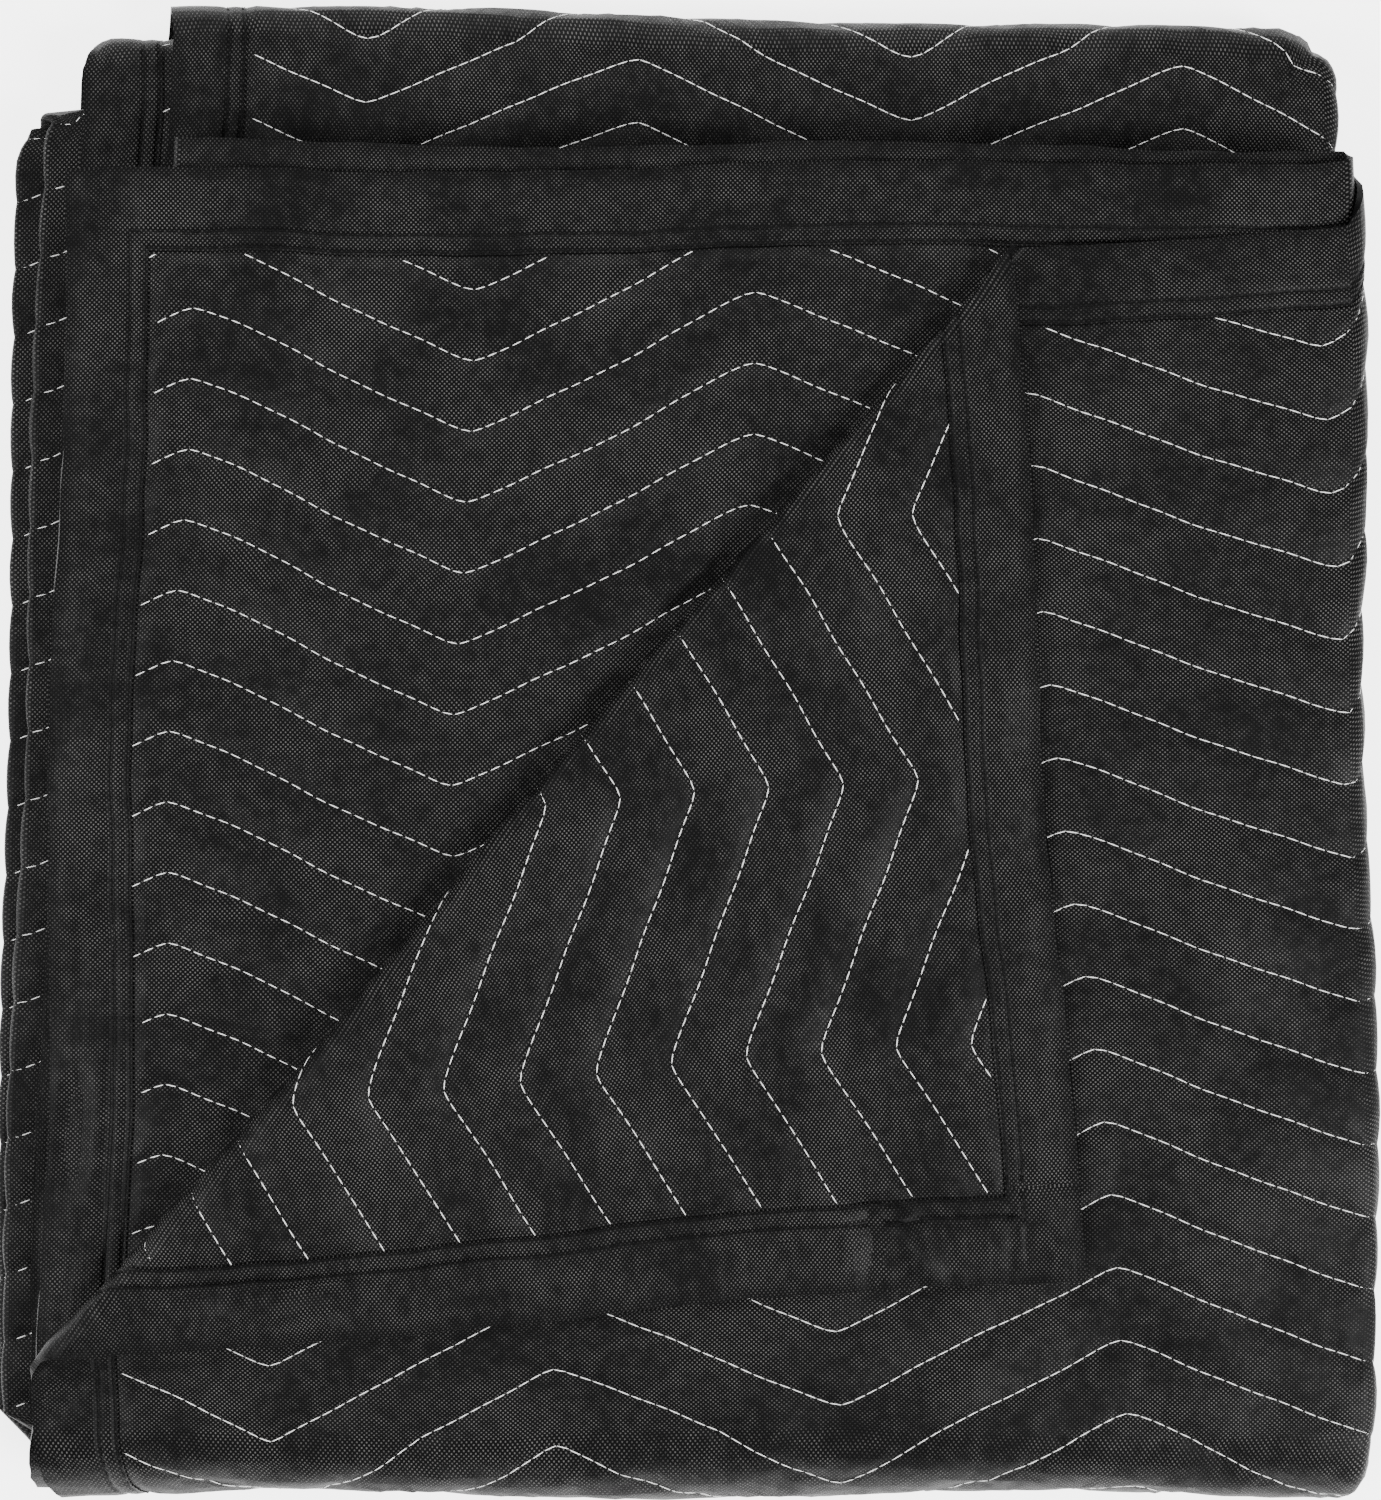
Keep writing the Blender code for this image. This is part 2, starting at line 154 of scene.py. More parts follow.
LAYERS = (
    LayerEdges(1, 1, -168.0, -186.0, 217.0, 218.0, 203.0, 203.0),
    LayerEdges(1, 2, -168.0, -184.0, 217.0, 218.0, 204.0, 204.0),
    LayerEdges(1, 3, -168.0, -184.0, 217.0, 218.0, 205.0, 205.0),
    LayerEdges(1, 4, -170.0, -188.0, 217.0, 218.0, 202.0, 202.0),
    LayerEdges(2, 1, -215.0, -234.0, 222.0, 222.0, 246.0, 241.0),
    LayerEdges(2, 2, -228.0, -244.0, 222.0, 222.0, 225.5, 233.0),
    LayerEdges(2, 3, -228.0, -244.0, 222.0, 222.0, 225.5, 233.0),
    LayerEdges(2, 4, -183.0, -208.0, 223.0, 222.0, 254.0, 244.0),
    LayerEdges(3, 1, -218.0, -236.0, 221.0, 222.0, 246.0, 241.0),
    LayerEdges(3, 2, -239.0, -247.0, 221.0, 222.0, 225.5, 233.0),
    LayerEdges(3, 3, -239.0, -247.0, 221.0, 222.0, 225.5, 233.0),
    LayerEdges(3, 4, -188.0, -216.0, 222.0, 222.0, 254.0, 244.0),
    LayerEdges(4, 1, -215.0, -225.0, 226.5, 233.0, 198.5, 203.0),
    LayerEdges(4, 2, -177.0, -190.0, 226.5, 233.0, 210.0, 207.5),
    LayerEdges(4, 3, -177.0, -190.0, 226.5, 233.0, 210.0, 206.5),
    LayerEdges(4, 4, -245.0, -224.5, 226.5, 233.0, 149.0, 180.0),
)


class RunPlace(NamedTuple):
    """Where a place of the flat cloth lies on one level of folding."""

    along: float
    reach: float
    height: float
    normal: tuple[float, float]
    run: int
    next_run: int
    share: float


class FoldLevel:
    """One level of folding: four runs that lie on each other and the three round folds between them."""

    def __init__(self, pitch: float, length: float) -> None:
        """Lays out the runs and folds.

        Args:
            pitch: The distance from one run to the next.
            length: The plain length of each run.
        """
        self.pitch = pitch
        self.length = length
        self.heights = (0.5, -0.5, -1.5, 1.5)
        self.marks = [0.0]
        for radius in (0.5 * pitch, 0.5 * pitch, 1.5 * pitch):
            self.marks += [self.marks[-1] + length, self.marks[-1] + length + math.pi * radius]
        self.marks.append(self.marks[-1] + length)

    def place(self, at: float) -> RunPlace:
        """Finds a place of the flat cloth on this level.

        Args:
            at: The distance along the flat cloth.

        Returns:
            How far along its run it is, 0 at the open side and 1 at the folds, with its height and normal.
        """
        piece = 0
        while piece < 6 and at > self.marks[piece + 1]:
            piece += 1
        start, end = self.marks[piece], self.marks[piece + 1]
        part = (at - start) / (end - start)
        run = piece // 2
        if piece % 2 == 0:
            forward = run % 2 == 0
            along = part if forward else 1.0 - part
            facing = 1.0 if forward else -1.0
            return RunPlace(along, 0.0, self.heights[run] * self.pitch, (0.0, facing), run, run, 0.0)
        here, there = self.heights[run] * self.pitch, self.heights[run + 1] * self.pitch
        radius = abs(here - there) / 2
        turn = math.pi * part
        side = 1.0 if run != 1 else -1.0
        sense = 1.0 if here > there else -1.0
        height = (here + there) / 2 + sense * radius * math.cos(turn)
        normal = (math.sin(turn) * sense, math.cos(turn) * side)
        along = 1.0 if side > 0 else 0.0
        return RunPlace(along, side * radius * math.sin(turn), height, normal, run, run + 1, part)


class Crease(NamedTuple):
    """One soft trough or ridge from one pixel of the photograph to another."""

    start: tuple[float, float]
    end: tuple[float, float]
    width: float
    height: float

    def lift(self, x: np.ndarray, y: np.ndarray) -> np.ndarray:
        """The height that it adds at each place, with a soft end where it starts and stops."""
        start = from_photo(*self.start)
        along = from_photo(*self.end) - start
        part = ((x - start.x) * along.x + (y - start.y) * along.y) / along.length_squared
        away = ((x - start.x) * along.y - (y - start.y) * along.x) / along.length
        fade = smooth_step((0.5 - np.abs(part - 0.5)) * 3.0 + 0.35)
        return self.height * fade * np.exp(-((away / self.width) ** 2))


CREASES = (
    Crease((70, 1080), (66, 1200), 5.0, -2.6),
    Crease((90, 1060), (86, 1210), 4.0, 1.8),
    Crease((52, 1070), (50, 1190), 3.0, 0.7),
    Crease((886, 1210), (930, 1284), 4.0, 3.8),
    Crease((864, 1206), (873, 1286), 3.2, -3.2),
    Crease((1006, 1196), (1008, 1268), 1.5, -0.9),
    Crease((1022, 1196), (1023, 1262), 1.4, -0.7),
    Crease((700, 1256), (858, 1238), 1.5, -0.9),
    Crease((496, 1264), (700, 1256), 1.5, -0.7),
    Crease((912, 1200), (920, 1288), 5.0, -1.0),
    Crease((58, 1350), (120, 1306), 3.0, 0.9),
    Crease((118, 1308), (232, 1288), 3.4, -2.0),
    Crease((228, 1288), (372, 1283), 3.4, -2.8),
    Crease((366, 1284), (500, 1260), 3.4, -1.8),
    Crease((216, 1304), (336, 1314), 4.5, 3.2),
    Crease((520, 1268), (640, 1262), 4.0, 0.9),
    Crease((690, 1262), (790, 1266), 4.0, 0.8),
    Crease((36, 1394), (112, 1344), 3.0, 1.5),
    Crease((40, 1422), (100, 1376), 3.0, -1.6),
    Crease((44, 1448), (92, 1408), 3.0, 1.3),
    Crease((46, 1474), (88, 1436), 3.0, -1.2),
    Crease((1000, 1184), (1080, 1178), 2.6, -2.0),
    Crease((700, 1160), (1000, 1184), 3.0, -0.7),
    Crease((1040, 700), (1052, 900), 7.0, -0.9),
    Crease((1020, 420), (1034, 560), 6.0, 0.8),
    Crease((948, 380), (962, 560), 3.0, -0.6),
    Crease((1170, 40), (1210, 70), 5.0, -0.9),
)


class Rounding(NamedTuple):
    """A corner that the cloth rounds off, on the layers between two heights."""

    corner: tuple[float, float]
    radius: float
    low: float
    high: float
    blend: float = 4.0

    def weight(self, z: np.ndarray) -> np.ndarray:
        """How far the layers at each height are rounded, from 0 to 1."""
        over_low, under_high = (z - self.low) / self.blend, (self.high - z) / self.blend
        return smooth_step(over_low + 0.5) * smooth_step(under_high + 0.5)

    def pull(self, x: np.ndarray, y: np.ndarray, z: np.ndarray) -> tuple[np.ndarray, np.ndarray]:
        """Takes places near the square corner to where the round one has them."""
        sign_x, sign_y = math.copysign(1, self.corner[0]), math.copysign(1, self.corner[1])
        over_x = x * sign_x - abs(self.corner[0]) + self.radius
        over_y = y * sign_y - abs(self.corner[1]) + self.radius
        inside = (over_x > 0) & (over_y > 0)
        shrink = np.maximum(over_x, over_y) / np.maximum(np.hypot(over_x, over_y), 1e-6)
        less = np.where(inside, 1.0 - shrink, 0.0) * self.weight(z)
        return x - less * over_x * sign_x, y - less * over_y * sign_y


ROUNDINGS = (
    Rounding((224.0, 252.5), 18.0, -9.0, 27.0),
    Rounding((-216.5, 254.0), 11.0, -9.0, 27.0),
    Rounding((-241.0, 232.0), 24.0, -9.0, 13.0),
    Rounding((-230.0, 233.0), 15.0, 13.0, 27.0),
)


@dataclass
class PadFolds:
    """How the flat pad lies when it is folded in four, twice, with one corner of its top turned back."""

    pitch: float = 3.4
    flat_width: float = 440.0
    flat_height: float = 430.0
    hidden: float = 1.2
    bottom: float = -236.0
    flap_start: tuple[float, float] = (111.6, 168.7)
    flap_end: tuple[float, float] = (-221.9, -215.6)
    flap_radii: tuple[float, float] = (2.8, 4.8)
    flap_settle: float = 80.0
    flap_rest: float = 4.1
    sway: float = 1.5
    sway_length: float = 41.0
    sway_shift: float = 11.0
    slump: float = 2.2
    slump_width: float = 70.0
    slump_box: tuple[float, float, float, float] = (-244.0, 240.0, -263.0, 263.0)
    swell: float = 0.9
    swell_length: float = 52.0
    uneven: tuple[Waves, ...] = (Waves(0.7, 62.0, 5), Waves(0.32, 26.0, 8))
    stir: tuple[Waves, Waves] = (Waves(0.45, 30.0, 21), Waves(0.45, 30.0, 22))
    stir_rise: int = 6
    across: FoldLevel = field(init=False)
    up: FoldLevel = field(init=False)

    def __post_init__(self) -> None:
        """Lays out both levels of folding and the slanting fold."""
        self.across = FoldLevel(self.pitch, self.flat_width)
        self.up = FoldLevel(4 * self.pitch, self.flat_height)
        self.middle = 7.5 * self.pitch + self.hidden
        self.edges = {(row.quarter - 1, row.run - 1): tuple(row[2:]) for row in LAYERS}
        self.start, self.end = Vector(self.flap_start), Vector(self.flap_end)
        self.along = (self.end - self.start).normalized()
        self.out = Vector((self.along.y, -self.along.x))
        self.total_u = self.across.marks[-1]
        self.total_v = self.up.marks[-1]

    def edge_distance(self, u: float, v: float) -> float:
        """How far a place lies from the cut edge of the flat cloth."""
        return min(u, self.total_u - u, v, self.total_v - v)

    def on_top_layer(self, u: float, v: float) -> bool:
        """Whether a place lies on the layer whose corner is turned back."""
        return u > self.across.marks[6] and v > self.up.marks[6]

    def lay(self, u: float, v: float) -> tuple[Vector, Vector]:
        """Lays a place of the flat cloth in the squared-up stack, before the corner is turned.

        Args:
            u: Distance across the flat cloth.
            v: Distance up the flat cloth.

        Returns:
            The middle of the cloth there, and its normal.
        """
        across, up = self.across.place(u), self.up.place(v)
        mixed = [0.0] * 6
        for quarter, q_share in ((up.run, 1 - up.share), (up.next_run, up.share)):
            for run, r_share in ((across.run, 1 - across.share), (across.next_run, across.share)):
                if q_share * r_share:
                    edge = self.edges[quarter, run]
                    mixed = [total + value * q_share * r_share for total, value in zip(mixed, edge)]
        left_top, left_low, right_top, right_low, top_left, top_right = mixed
        y_part = 1.0 - up.along
        left = left_low + (left_top - left_low) * y_part
        right = right_low + (right_top - right_low) * y_part
        top = top_left + (top_right - top_left) * across.along
        x = left + (right - left) * across.along + across.reach
        y = self.bottom + (top - self.bottom) * y_part - up.reach
        tilt_y, tilt_z = up.normal[0], -up.normal[1]
        point = Vector((x, y + tilt_y * across.height, self.middle + up.height + tilt_z * across.height))
        return point, Vector((across.normal[0], tilt_y * across.normal[1], tilt_z * across.normal[1]))

    def flap_radius(self, at: Vector) -> float:
        """The slanting fold's radius beside this place: tight at its upper end, slack at its lower end."""
        share = (at - self.start).dot(self.along) / (self.end - self.start).length
        return self.flap_radii[0] + (self.flap_radii[1] - self.flap_radii[0]) * min(max(share, 0.0), 1.0)

    def past_fold(self, at: Vector) -> float:
        """How far a place of the squared-up top layer lies past the slanting fold."""
        return (at - self.start).dot(self.out)

    def turn_corner(self, point: Vector, normal: Vector) -> tuple[Vector, Vector]:
        """Rolls what lies past the slanting fold over onto the top layer.

        Args:
            point: The middle of the cloth before the corner is turned.
            normal: Its normal.

        Returns:
            Both after the corner is turned.
        """
        past = self.past_fold(point.xy)
        if past <= 0:
            return point, normal
        foot = point.xy - self.out * past
        radius = self.flap_radius(point.xy)
        turn = min(past / radius, math.pi)
        beyond = max(past - math.pi * radius, 0.0)
        sunk = (2 * radius - self.flap_rest) * float(smooth_step(beyond / self.flap_settle))
        flat = foot + self.out * (radius * math.sin(turn) - beyond)
        height = point.z + radius * (1 - math.cos(turn)) - sunk
        tilt = self.out * (-math.sin(turn) * normal.z)
        return Vector((flat.x, flat.y, height)), Vector((tilt.x, tilt.y, normal.z * math.cos(turn)))

    def folded(self, u: float, v: float) -> tuple[Vector, Vector]:
        """The middle of the folded cloth and its normal at a place of the flat cloth."""
        point, normal = self.lay(u, v)
        if self.on_top_layer(u, v):
            point, normal = self.turn_corner(point, normal)
        return point, normal.normalized()

    def settle(self, points: np.ndarray) -> np.ndarray:
        """Takes points of the squared-up stack to where the slack, slightly swollen stack has them.

        Args:
            points: Rows of x, y and z.

        Returns:
            The same rows, moved.
        """
        x, y, z = points.T
        for rounding in ROUNDINGS:
            x, y = rounding.pull(x, y, z)
        height = np.maximum(z, 0.0) / (15 * self.pitch)
        left, right, low, high = self.slump_box
        inward = np.minimum.reduce([x - left, right - x, y - low, high - y])
        dip = 1 - np.clip(inward / self.slump_width, 0.0, 1.0)
        swell = self.swell * np.sin(x / self.swell_length + 1.0) * np.sin(y / self.swell_length + 0.4)
        free = np.minimum(height * 2, 1.0)
        sway_x = self.sway * np.sin(y / self.sway_length + z / self.sway_shift) * free
        sway_y = self.sway * np.sin(x / self.sway_length + z / self.sway_shift + 2.0) * free
        uneven = sum(some.at(x, y) for some in self.uneven)
        creases = sum(crease.lift(x, y) for crease in CREASES)
        lift = swell + uneven + creases - self.slump * dip * dip
        sway_x = sway_x + self.stir[0].at(y, z * self.stir_rise) * free
        sway_y = sway_y + self.stir[1].at(x, z * self.stir_rise) * free
        return np.stack([x + sway_x - MIDDLE[0], y + sway_y - MIDDLE[1], z + height * lift], axis=1)


@dataclass
class QuiltPatch:
    """The zigzag rows on one part of the cloth. The peak and row are places on the folded pad."""

    folds: PadFolds
    name: str
    quarter: int
    run: int
    peak: float
    row: float
    u_range: tuple[float, float]
    v_range: tuple[float, float]
    half: float = 95.3
    pitch: float = 24.4
    lean: float = 0.0
    tilt: float = 0.0
    fan: float = 0.0
    narrow: float = 0.0
    column: float = 7.0
    dash: float = 3.6
    visible: Side = Side.BACK
    both_sides: bool = False
    sewn: bool = True
    slope: float = 0.455
    rounding: float = 0.028
    fan_rows: int = 15
    wander: tuple[tuple[float, float], ...] = ((0.45, 31.0), (0.3, 13.0))

    def __post_init__(self) -> None:
        """Carries the measures on the folded pad over to the flat cloth."""
        folds = self.folds
        edges = folds.edges[self.quarter - 1, self.run - 1]
        left, right, top = ((edges[index] + edges[index + 1]) / 2 for index in (0, 2, 4))
        across, up = folds.across.marks, folds.up.marks
        self.u_sense = 1 if self.run % 2 == 1 else -1
        self.v_sense = 1 if self.quarter % 2 == 0 else -1
        per_u = folds.flat_width / (right - left)
        per_v = folds.flat_height / (top - folds.bottom)
        self.flat_half = self.half * per_u
        self.drop = self.half * self.slope * per_v
        self.flat_pitch = self.pitch * per_v
        self.flat_lean = self.lean * self.u_sense * self.v_sense * per_u / per_v
        self.flat_tilt = self.tilt * self.u_sense * self.v_sense * per_v / per_u
        share = (self.peak - left) / (right - left)
        u_start = across[2 * self.run - 2]
        v_start = up[2 * self.quarter - 2]
        self.u_peak = u_start + folds.flat_width * (share if self.u_sense > 0 else 1 - share)
        rise = (self.row - folds.bottom) / (top - folds.bottom)
        self.v_row = v_start + folds.flat_height * (rise if self.v_sense > 0 else 1 - rise)

    def holds(self, u: float, v: float) -> bool:
        """Whether a place of the flat cloth lies on this patch."""
        near = 1e-3
        in_u = self.u_range[0] - near <= u <= self.u_range[1] + near
        return in_u and self.v_range[0] - near <= v <= self.v_range[1] + near

    def upright(self, u: float, v: float) -> float:
        """The place across, counted along the line on which the rows turn."""
        from_peak = u - self.flat_lean * (v - self.v_row) - self.u_peak
        return self.u_peak + from_peak * self.closer(from_peak, v)

    def closer(self, from_peak: float, v: float) -> float:
        """How much closer the turns lie at this height, left of the first peak."""
        rise = (v - self.v_range[0]) / self.folds.flat_height
        return 1.0 + (self.narrow * max(0.0, rise) if from_peak * self.u_sense < 0 else 0.0)

    def row_height(self, upright: float) -> float:
        """How far up the row that peaks at the given height lies at this upright place."""
        away = abs((upright - self.u_peak) / self.flat_half) % 2.0
        away = away if away <= 1.0 else 2.0 - away
        soft = self.rounding
        away += soft * (math.exp(-away / soft) - math.exp(-(1.0 - away) / soft))
        wander = 0.0
        for (height, length), shift in zip(self.wander, (self.peak, self.row)):
            wander += height * math.sin(upright / length + shift)
        spread = self.fan_rows * self.flat_pitch * (self.spread(upright) - 1)
        turned = self.flat_tilt * (upright - self.u_peak)
        drop = self.drop * self.spread(upright)
        return self.v_row - away * drop * self.v_sense + turned + spread + wander

    def spread(self, upright: float) -> float:
        """How much wider than usual the rows lie at this upright place, left of the first peak."""
        before_peak = max(0.0, (self.u_peak - upright) * self.u_sense)
        return 1.0 + self.fan * before_peak / (self.fan_rows * self.flat_pitch)

    def flat_place(self, upright: float, phase: float) -> Vector:
        """The place on the flat cloth that has this upright place and this phase."""
        v = self.row_height(upright) + phase * self.flat_pitch * self.spread(upright)
        from_peak = upright - self.u_peak
        across = self.u_peak + from_peak / self.closer(from_peak, v)
        return Vector((across + self.flat_lean * (v - self.v_row), v, 0))

    def phase(self, u: float, v: float) -> float:
        """How many rows a place lies from the given row, with whole numbers on the stitches."""
        upright = self.upright(u, v)
        return (v - self.row_height(upright)) / (self.flat_pitch * self.spread(upright))

    def turns(self) -> list[float]:
        """The upright places where the rows turn, and one past each end of the patch."""
        reach = abs(self.flat_lean) * self.folds.flat_height * 1.2
        first = math.floor((self.u_range[0] - reach - self.u_peak) / self.flat_half)
        last = math.ceil((self.u_range[1] + reach - self.u_peak) / self.flat_half)
        return [self.u_peak + self.flat_half * i for i in range(first, last + 1)]

    def strips(self) -> Iterable[tuple[float, float, int, int]]:
        """The upright start and end of each strip between two turns, and its first and last row."""
        turns = self.turns()
        for start, end in zip(turns, turns[1:]):
            heights = [self.row_height(at) for at in (start, (start + end) / 2, end)]
            first = math.floor((self.v_range[0] - max(heights)) / self.flat_pitch) - 1
            last = math.ceil((self.v_range[1] - min(heights)) / self.flat_pitch) + 1
            yield start, end, first, last


class Quilting:
    """All zigzag patches of the pad, and the cloth's thickness between their rows."""

    def __init__(self, folds: PadFolds) -> None:
        """Places every patch on the cloth.

        Args:
            folds: How the pad is folded.
        """
        patch = partial(QuiltPatch, folds)
        us, vs = folds.across.marks, folds.up.marks
        outer, wide = math.pi * 1.5 * folds.pitch, math.pi * 6.0 * folds.pitch
        right_fold = (us[5], us[6])
        self.patches = (
            patch("top", 4, 4, 115.9, 142.2, (us[6] - outer, us[7]), (vs[6] - wide, vs[7]), half=102.0,
                  pitch=24.6, lean=-0.085, tilt=0.05, fan=0.1, narrow=0.12, column=5.6, dash=4.3,
                  both_sides=True),
            patch("under_corner", 4, 1, -176.8, 154.4, (0.0, us[1] - 100.0), (vs[6] - 20.0, vs[7]),
                  half=98.8, pitch=24.55, lean=0.018, tilt=0.02, column=6.2, visible=Side.FRONT),
            patch("behind_top", 2, 4, -26.9, 246.0, (us[6] - outer, us[7]), (vs[3] - 80.0, vs[4]),
                  half=99.1, pitch=22.5, column=5.0, dash=4.3),
            patch("behind_left", 2, 1, -120.0, 236.0, (0.0, 90.0), (vs[3] - 90.0, vs[4]), pitch=24.0,
                  visible=Side.FRONT),
            patch("left_fold_upper", 2, 2, -140.0, 100.0, (us[3] - 45.0, us[4]), (vs[2], vs[3] + 5.0),
                  lean=0.01),
            patch("left_fold_lower", 3, 3, -150.0, 120.0, (us[3], us[4] + 45.0), (vs[4] - 5.0, vs[5]),
                  lean=0.01),
            patch("right_fold_low", 1, 4, 150.0, 120.0, (us[5], us[6] + 12.0), (0.0, vs[1]), lean=0.02,
                  column=6.0),
            patch("right_fold_middle", 2, 4, 130.0, 90.0, right_fold, (vs[2], vs[3] - 80.0), column=6.0),
            patch("right_fold_lowest", 3, 4, 140.0, 90.0, right_fold, (vs[4], vs[5]), column=6.0),
            patch("underside", 3, 4, 20.0, 100.0, (us[6], us[7]), (vs[4], vs[6] - wide), column=24.0,
                  sewn=False),
        )

    def at(self, u: float, v: float) -> QuiltPatch | None:
        """The patch that a place lies on, if any."""
        return next((patch for patch in self.patches if patch.holds(u, v)), None)


@dataclass
class FlatCloth:
    """Divides the flat cloth along its folds, rows, creases and the slanting fold before it is laid."""

    folds: PadFolds
    fold_steps: int = 8
    flap_steps: int = 12
    merge: float = 0.12

    def fold_cuts(self, level: FoldLevel) -> list[float]:
        """The ends of the runs of one level, with its folds in even steps."""
        found = []
        for piece, (start, end) in enumerate(zip(level.marks, level.marks[1:])):
            steps = self.fold_steps if piece % 2 else 1
            if piece == 5 and level is self.folds.up:
                steps *= 2
            found += [start + (end - start) * i / steps for i in range(steps)]
        return found + [level.marks[-1]]

    def grid(
        self, us: Sequence[float], vs: Sequence[float], keep: Callable[[float, float], bool]
    ) -> bmesh.types.BMesh:
        """The flat cloth as oblong faces.

        Args:
            us: The lines across.
            vs: The lines up.
            keep: Tells for the middle of a face whether it belongs.

        Returns:
            The flat mesh.
        """
        bm = bmesh.new()
        corners: dict[tuple[int, int], bmesh.types.BMVert] = {}
        for i in range(len(us) - 1):
            for j in range(len(vs) - 1):
                if keep((us[i] + us[i + 1]) / 2, (vs[j] + vs[j + 1]) / 2):
                    ring = []
                    for a, b in ((i, j), (i + 1, j), (i + 1, j + 1), (i, j + 1)):
                        if (a, b) not in corners:
                            corners[a, b] = bm.verts.new((us[a], vs[b], 0))
                        ring.append(corners[a, b])
                    bm.faces.new(ring)
        return bm

    @staticmethod
    def around(faces: Iterable[bmesh.types.BMFace]) -> list:
        """The faces with their edges and points, in the same order on each run, as the cut takes them."""
        faces = list(faces)
        edges = dict.fromkeys(edge for face in faces for edge in face.edges)
        points = dict.fromkeys(point for face in faces for point in face.verts)
        return [*faces, *edges, *points]

    @staticmethod
    def cut(bm: bmesh.types.BMesh, geometry: list, at: Vector, square_to: Vector) -> list:
        """Divides the geometry along a straight line, and gives back all of it."""
        result = bmesh.ops.bisect_plane(bm, geom=geometry, dist=1e-4, plane_co=at, plane_no=square_to)
        return result["geom"]

    def even_cuts(self, bm: bmesh.types.BMesh, faces: list, axis: int, step: float) -> None:
        """Divides the faces by even lines square to one axis."""
        if not faces:
            return
        values = [vert.co[axis] for face in faces for vert in face.verts]
        first, last = math.floor(min(values) / step) + 1, math.ceil(max(values) / step)
        geometry = self.around(faces)
        for index in range(first, last):
            geometry = self.cut(bm, geometry, AXES[axis] * (index * step), AXES[axis])

    def patch_mesh(
        self, patch: QuiltPatch, parts: Sequence[float], box: tuple[float, float, float, float],
        lines: tuple[Sequence[float], Sequence[float]],
    ) -> bmesh.types.BMesh:
        """Makes one patch as strips of faces that follow its rows.

        Args:
            patch: The zigzag patch.
            parts: Where the lines lie between two rows.
            box: The patch's least and greatest u, then its least and greatest v.
            lines: The folds and other lines across and up the cloth that its faces have to meet.

        Returns:
            The flat mesh of the patch.
        """
        bm = bmesh.new()
        for start, end, first, last in patch.strips():
            strip = bmesh.new()
            columns = max(1, round((end - start) / patch.column))
            phases = [row + part for row in range(first, last) for part in parts] + [float(last)]
            bmesh.ops.create_grid(strip, x_segments=columns, y_segments=len(phases) - 1, size=0.5)
            for vert in strip.verts:
                phase = phases[round((vert.co.y + 0.5) * (len(phases) - 1))]
                vert.co = patch.flat_place(start + (end - start) * (vert.co.x + 0.5), phase)
            for axis, square in enumerate(AXES):
                low, high = box[2 * axis : 2 * axis + 2]
                for at, outward in ((low, -1), (high, 1)):
                    bmesh.ops.bisect_plane(
                        strip, geom=self.around(strip.faces), dist=1e-4, plane_co=square * at,
                        plane_no=square * outward, clear_outer=True,
                    )
                reach = [vert.co[axis] for vert in strip.verts] or [0.0]
                for at in lines[axis]:
                    if max(low, min(reach)) + 0.05 < at < min(high, max(reach)) - 0.05:
                        self.cut(strip, self.around(strip.faces), square * at, square)
            if strip.faces:
                take_in(bm, strip)
            else:
                strip.free()
        bmesh.ops.remove_doubles(bm, verts=bm.verts[:], dist=0.002)
        return bm

    @staticmethod
    def meet(bm: bmesh.types.BMesh) -> None:
        """Gives both sides of every border between two patches the same points, and joins them."""
        border = [edge for edge in bm.edges if len(edge.link_faces) == 1]
        found: dict[tuple[int, int], set[float]] = {}
        fixed = {}
        for edge in border:
            a, b = edge.verts
            axis = 0 if abs(a.co.x - b.co.x) < abs(a.co.y - b.co.y) else 1
            fixed[edge] = (axis, round(a.co[axis] * 50))
            found.setdefault(fixed[edge], set()).update((a.co[1 - axis], b.co[1 - axis]))
        ordered = {key: sorted(values) for key, values in found.items()}
        for edge in border:
            key = fixed[edge]
            along = 1 - key[0]
            low, high = sorted(edge.verts, key=lambda vert: vert.co[along])
            for place in reversed(ordered[key]):
                if not low.co[along] + 0.01 < place < high.co[along] - 0.01:
                    continue
                part = (place - low.co[along]) / (high.co[along] - low.co[along])
                _, high = bmesh.utils.edge_split(bm.edges.get((low, high)), low, part)
        bmesh.ops.remove_doubles(bm, verts=bm.verts[:], dist=0.02)

    def cut_flap(self, bm: bmesh.types.BMesh) -> None:
        """Divides the top layer along the slanting fold, so that it can turn in even steps."""
        folds = self.folds
        flat = bm.verts.layers.float_vector.new("flat")
        for vert in bm.verts:
            vert[flat] = vert.co
        top = [face for face in bm.faces if folds.on_top_layer(*face.calc_center_median().xy)]
        for vert in dict.fromkeys(vert for face in top for vert in face.verts):
            point, _ = folds.lay(vert.co.x, vert.co.y)
            vert.co = (point.x, point.y, 0)
        geometry = self.around(top)
        for step in range(self.flap_steps + 1):
            turn = math.pi * step / self.flap_steps
            here = folds.start + folds.out * (folds.flap_radii[0] * turn)
            there = folds.end + folds.out * (folds.flap_radii[1] * turn)
            along = there - here
            geometry = self.cut(bm, geometry, here.to_3d(), Vector((along.y, -along.x, 0)))
        for vert in bm.verts:
            vert.co = vert[flat]

    def ready(self, bm: bmesh.types.BMesh) -> None:
        """Merges near points and divides the faces into triangles."""
        bmesh.ops.remove_doubles(bm, verts=bm.verts[:], dist=self.merge)
        bmesh.ops.dissolve_degenerate(bm, edges=bm.edges[:], dist=self.merge / 10)
        bmesh.ops.triangulate(bm, faces=bm.faces[:], quad_method="FIXED")
        bm.verts.index_update()


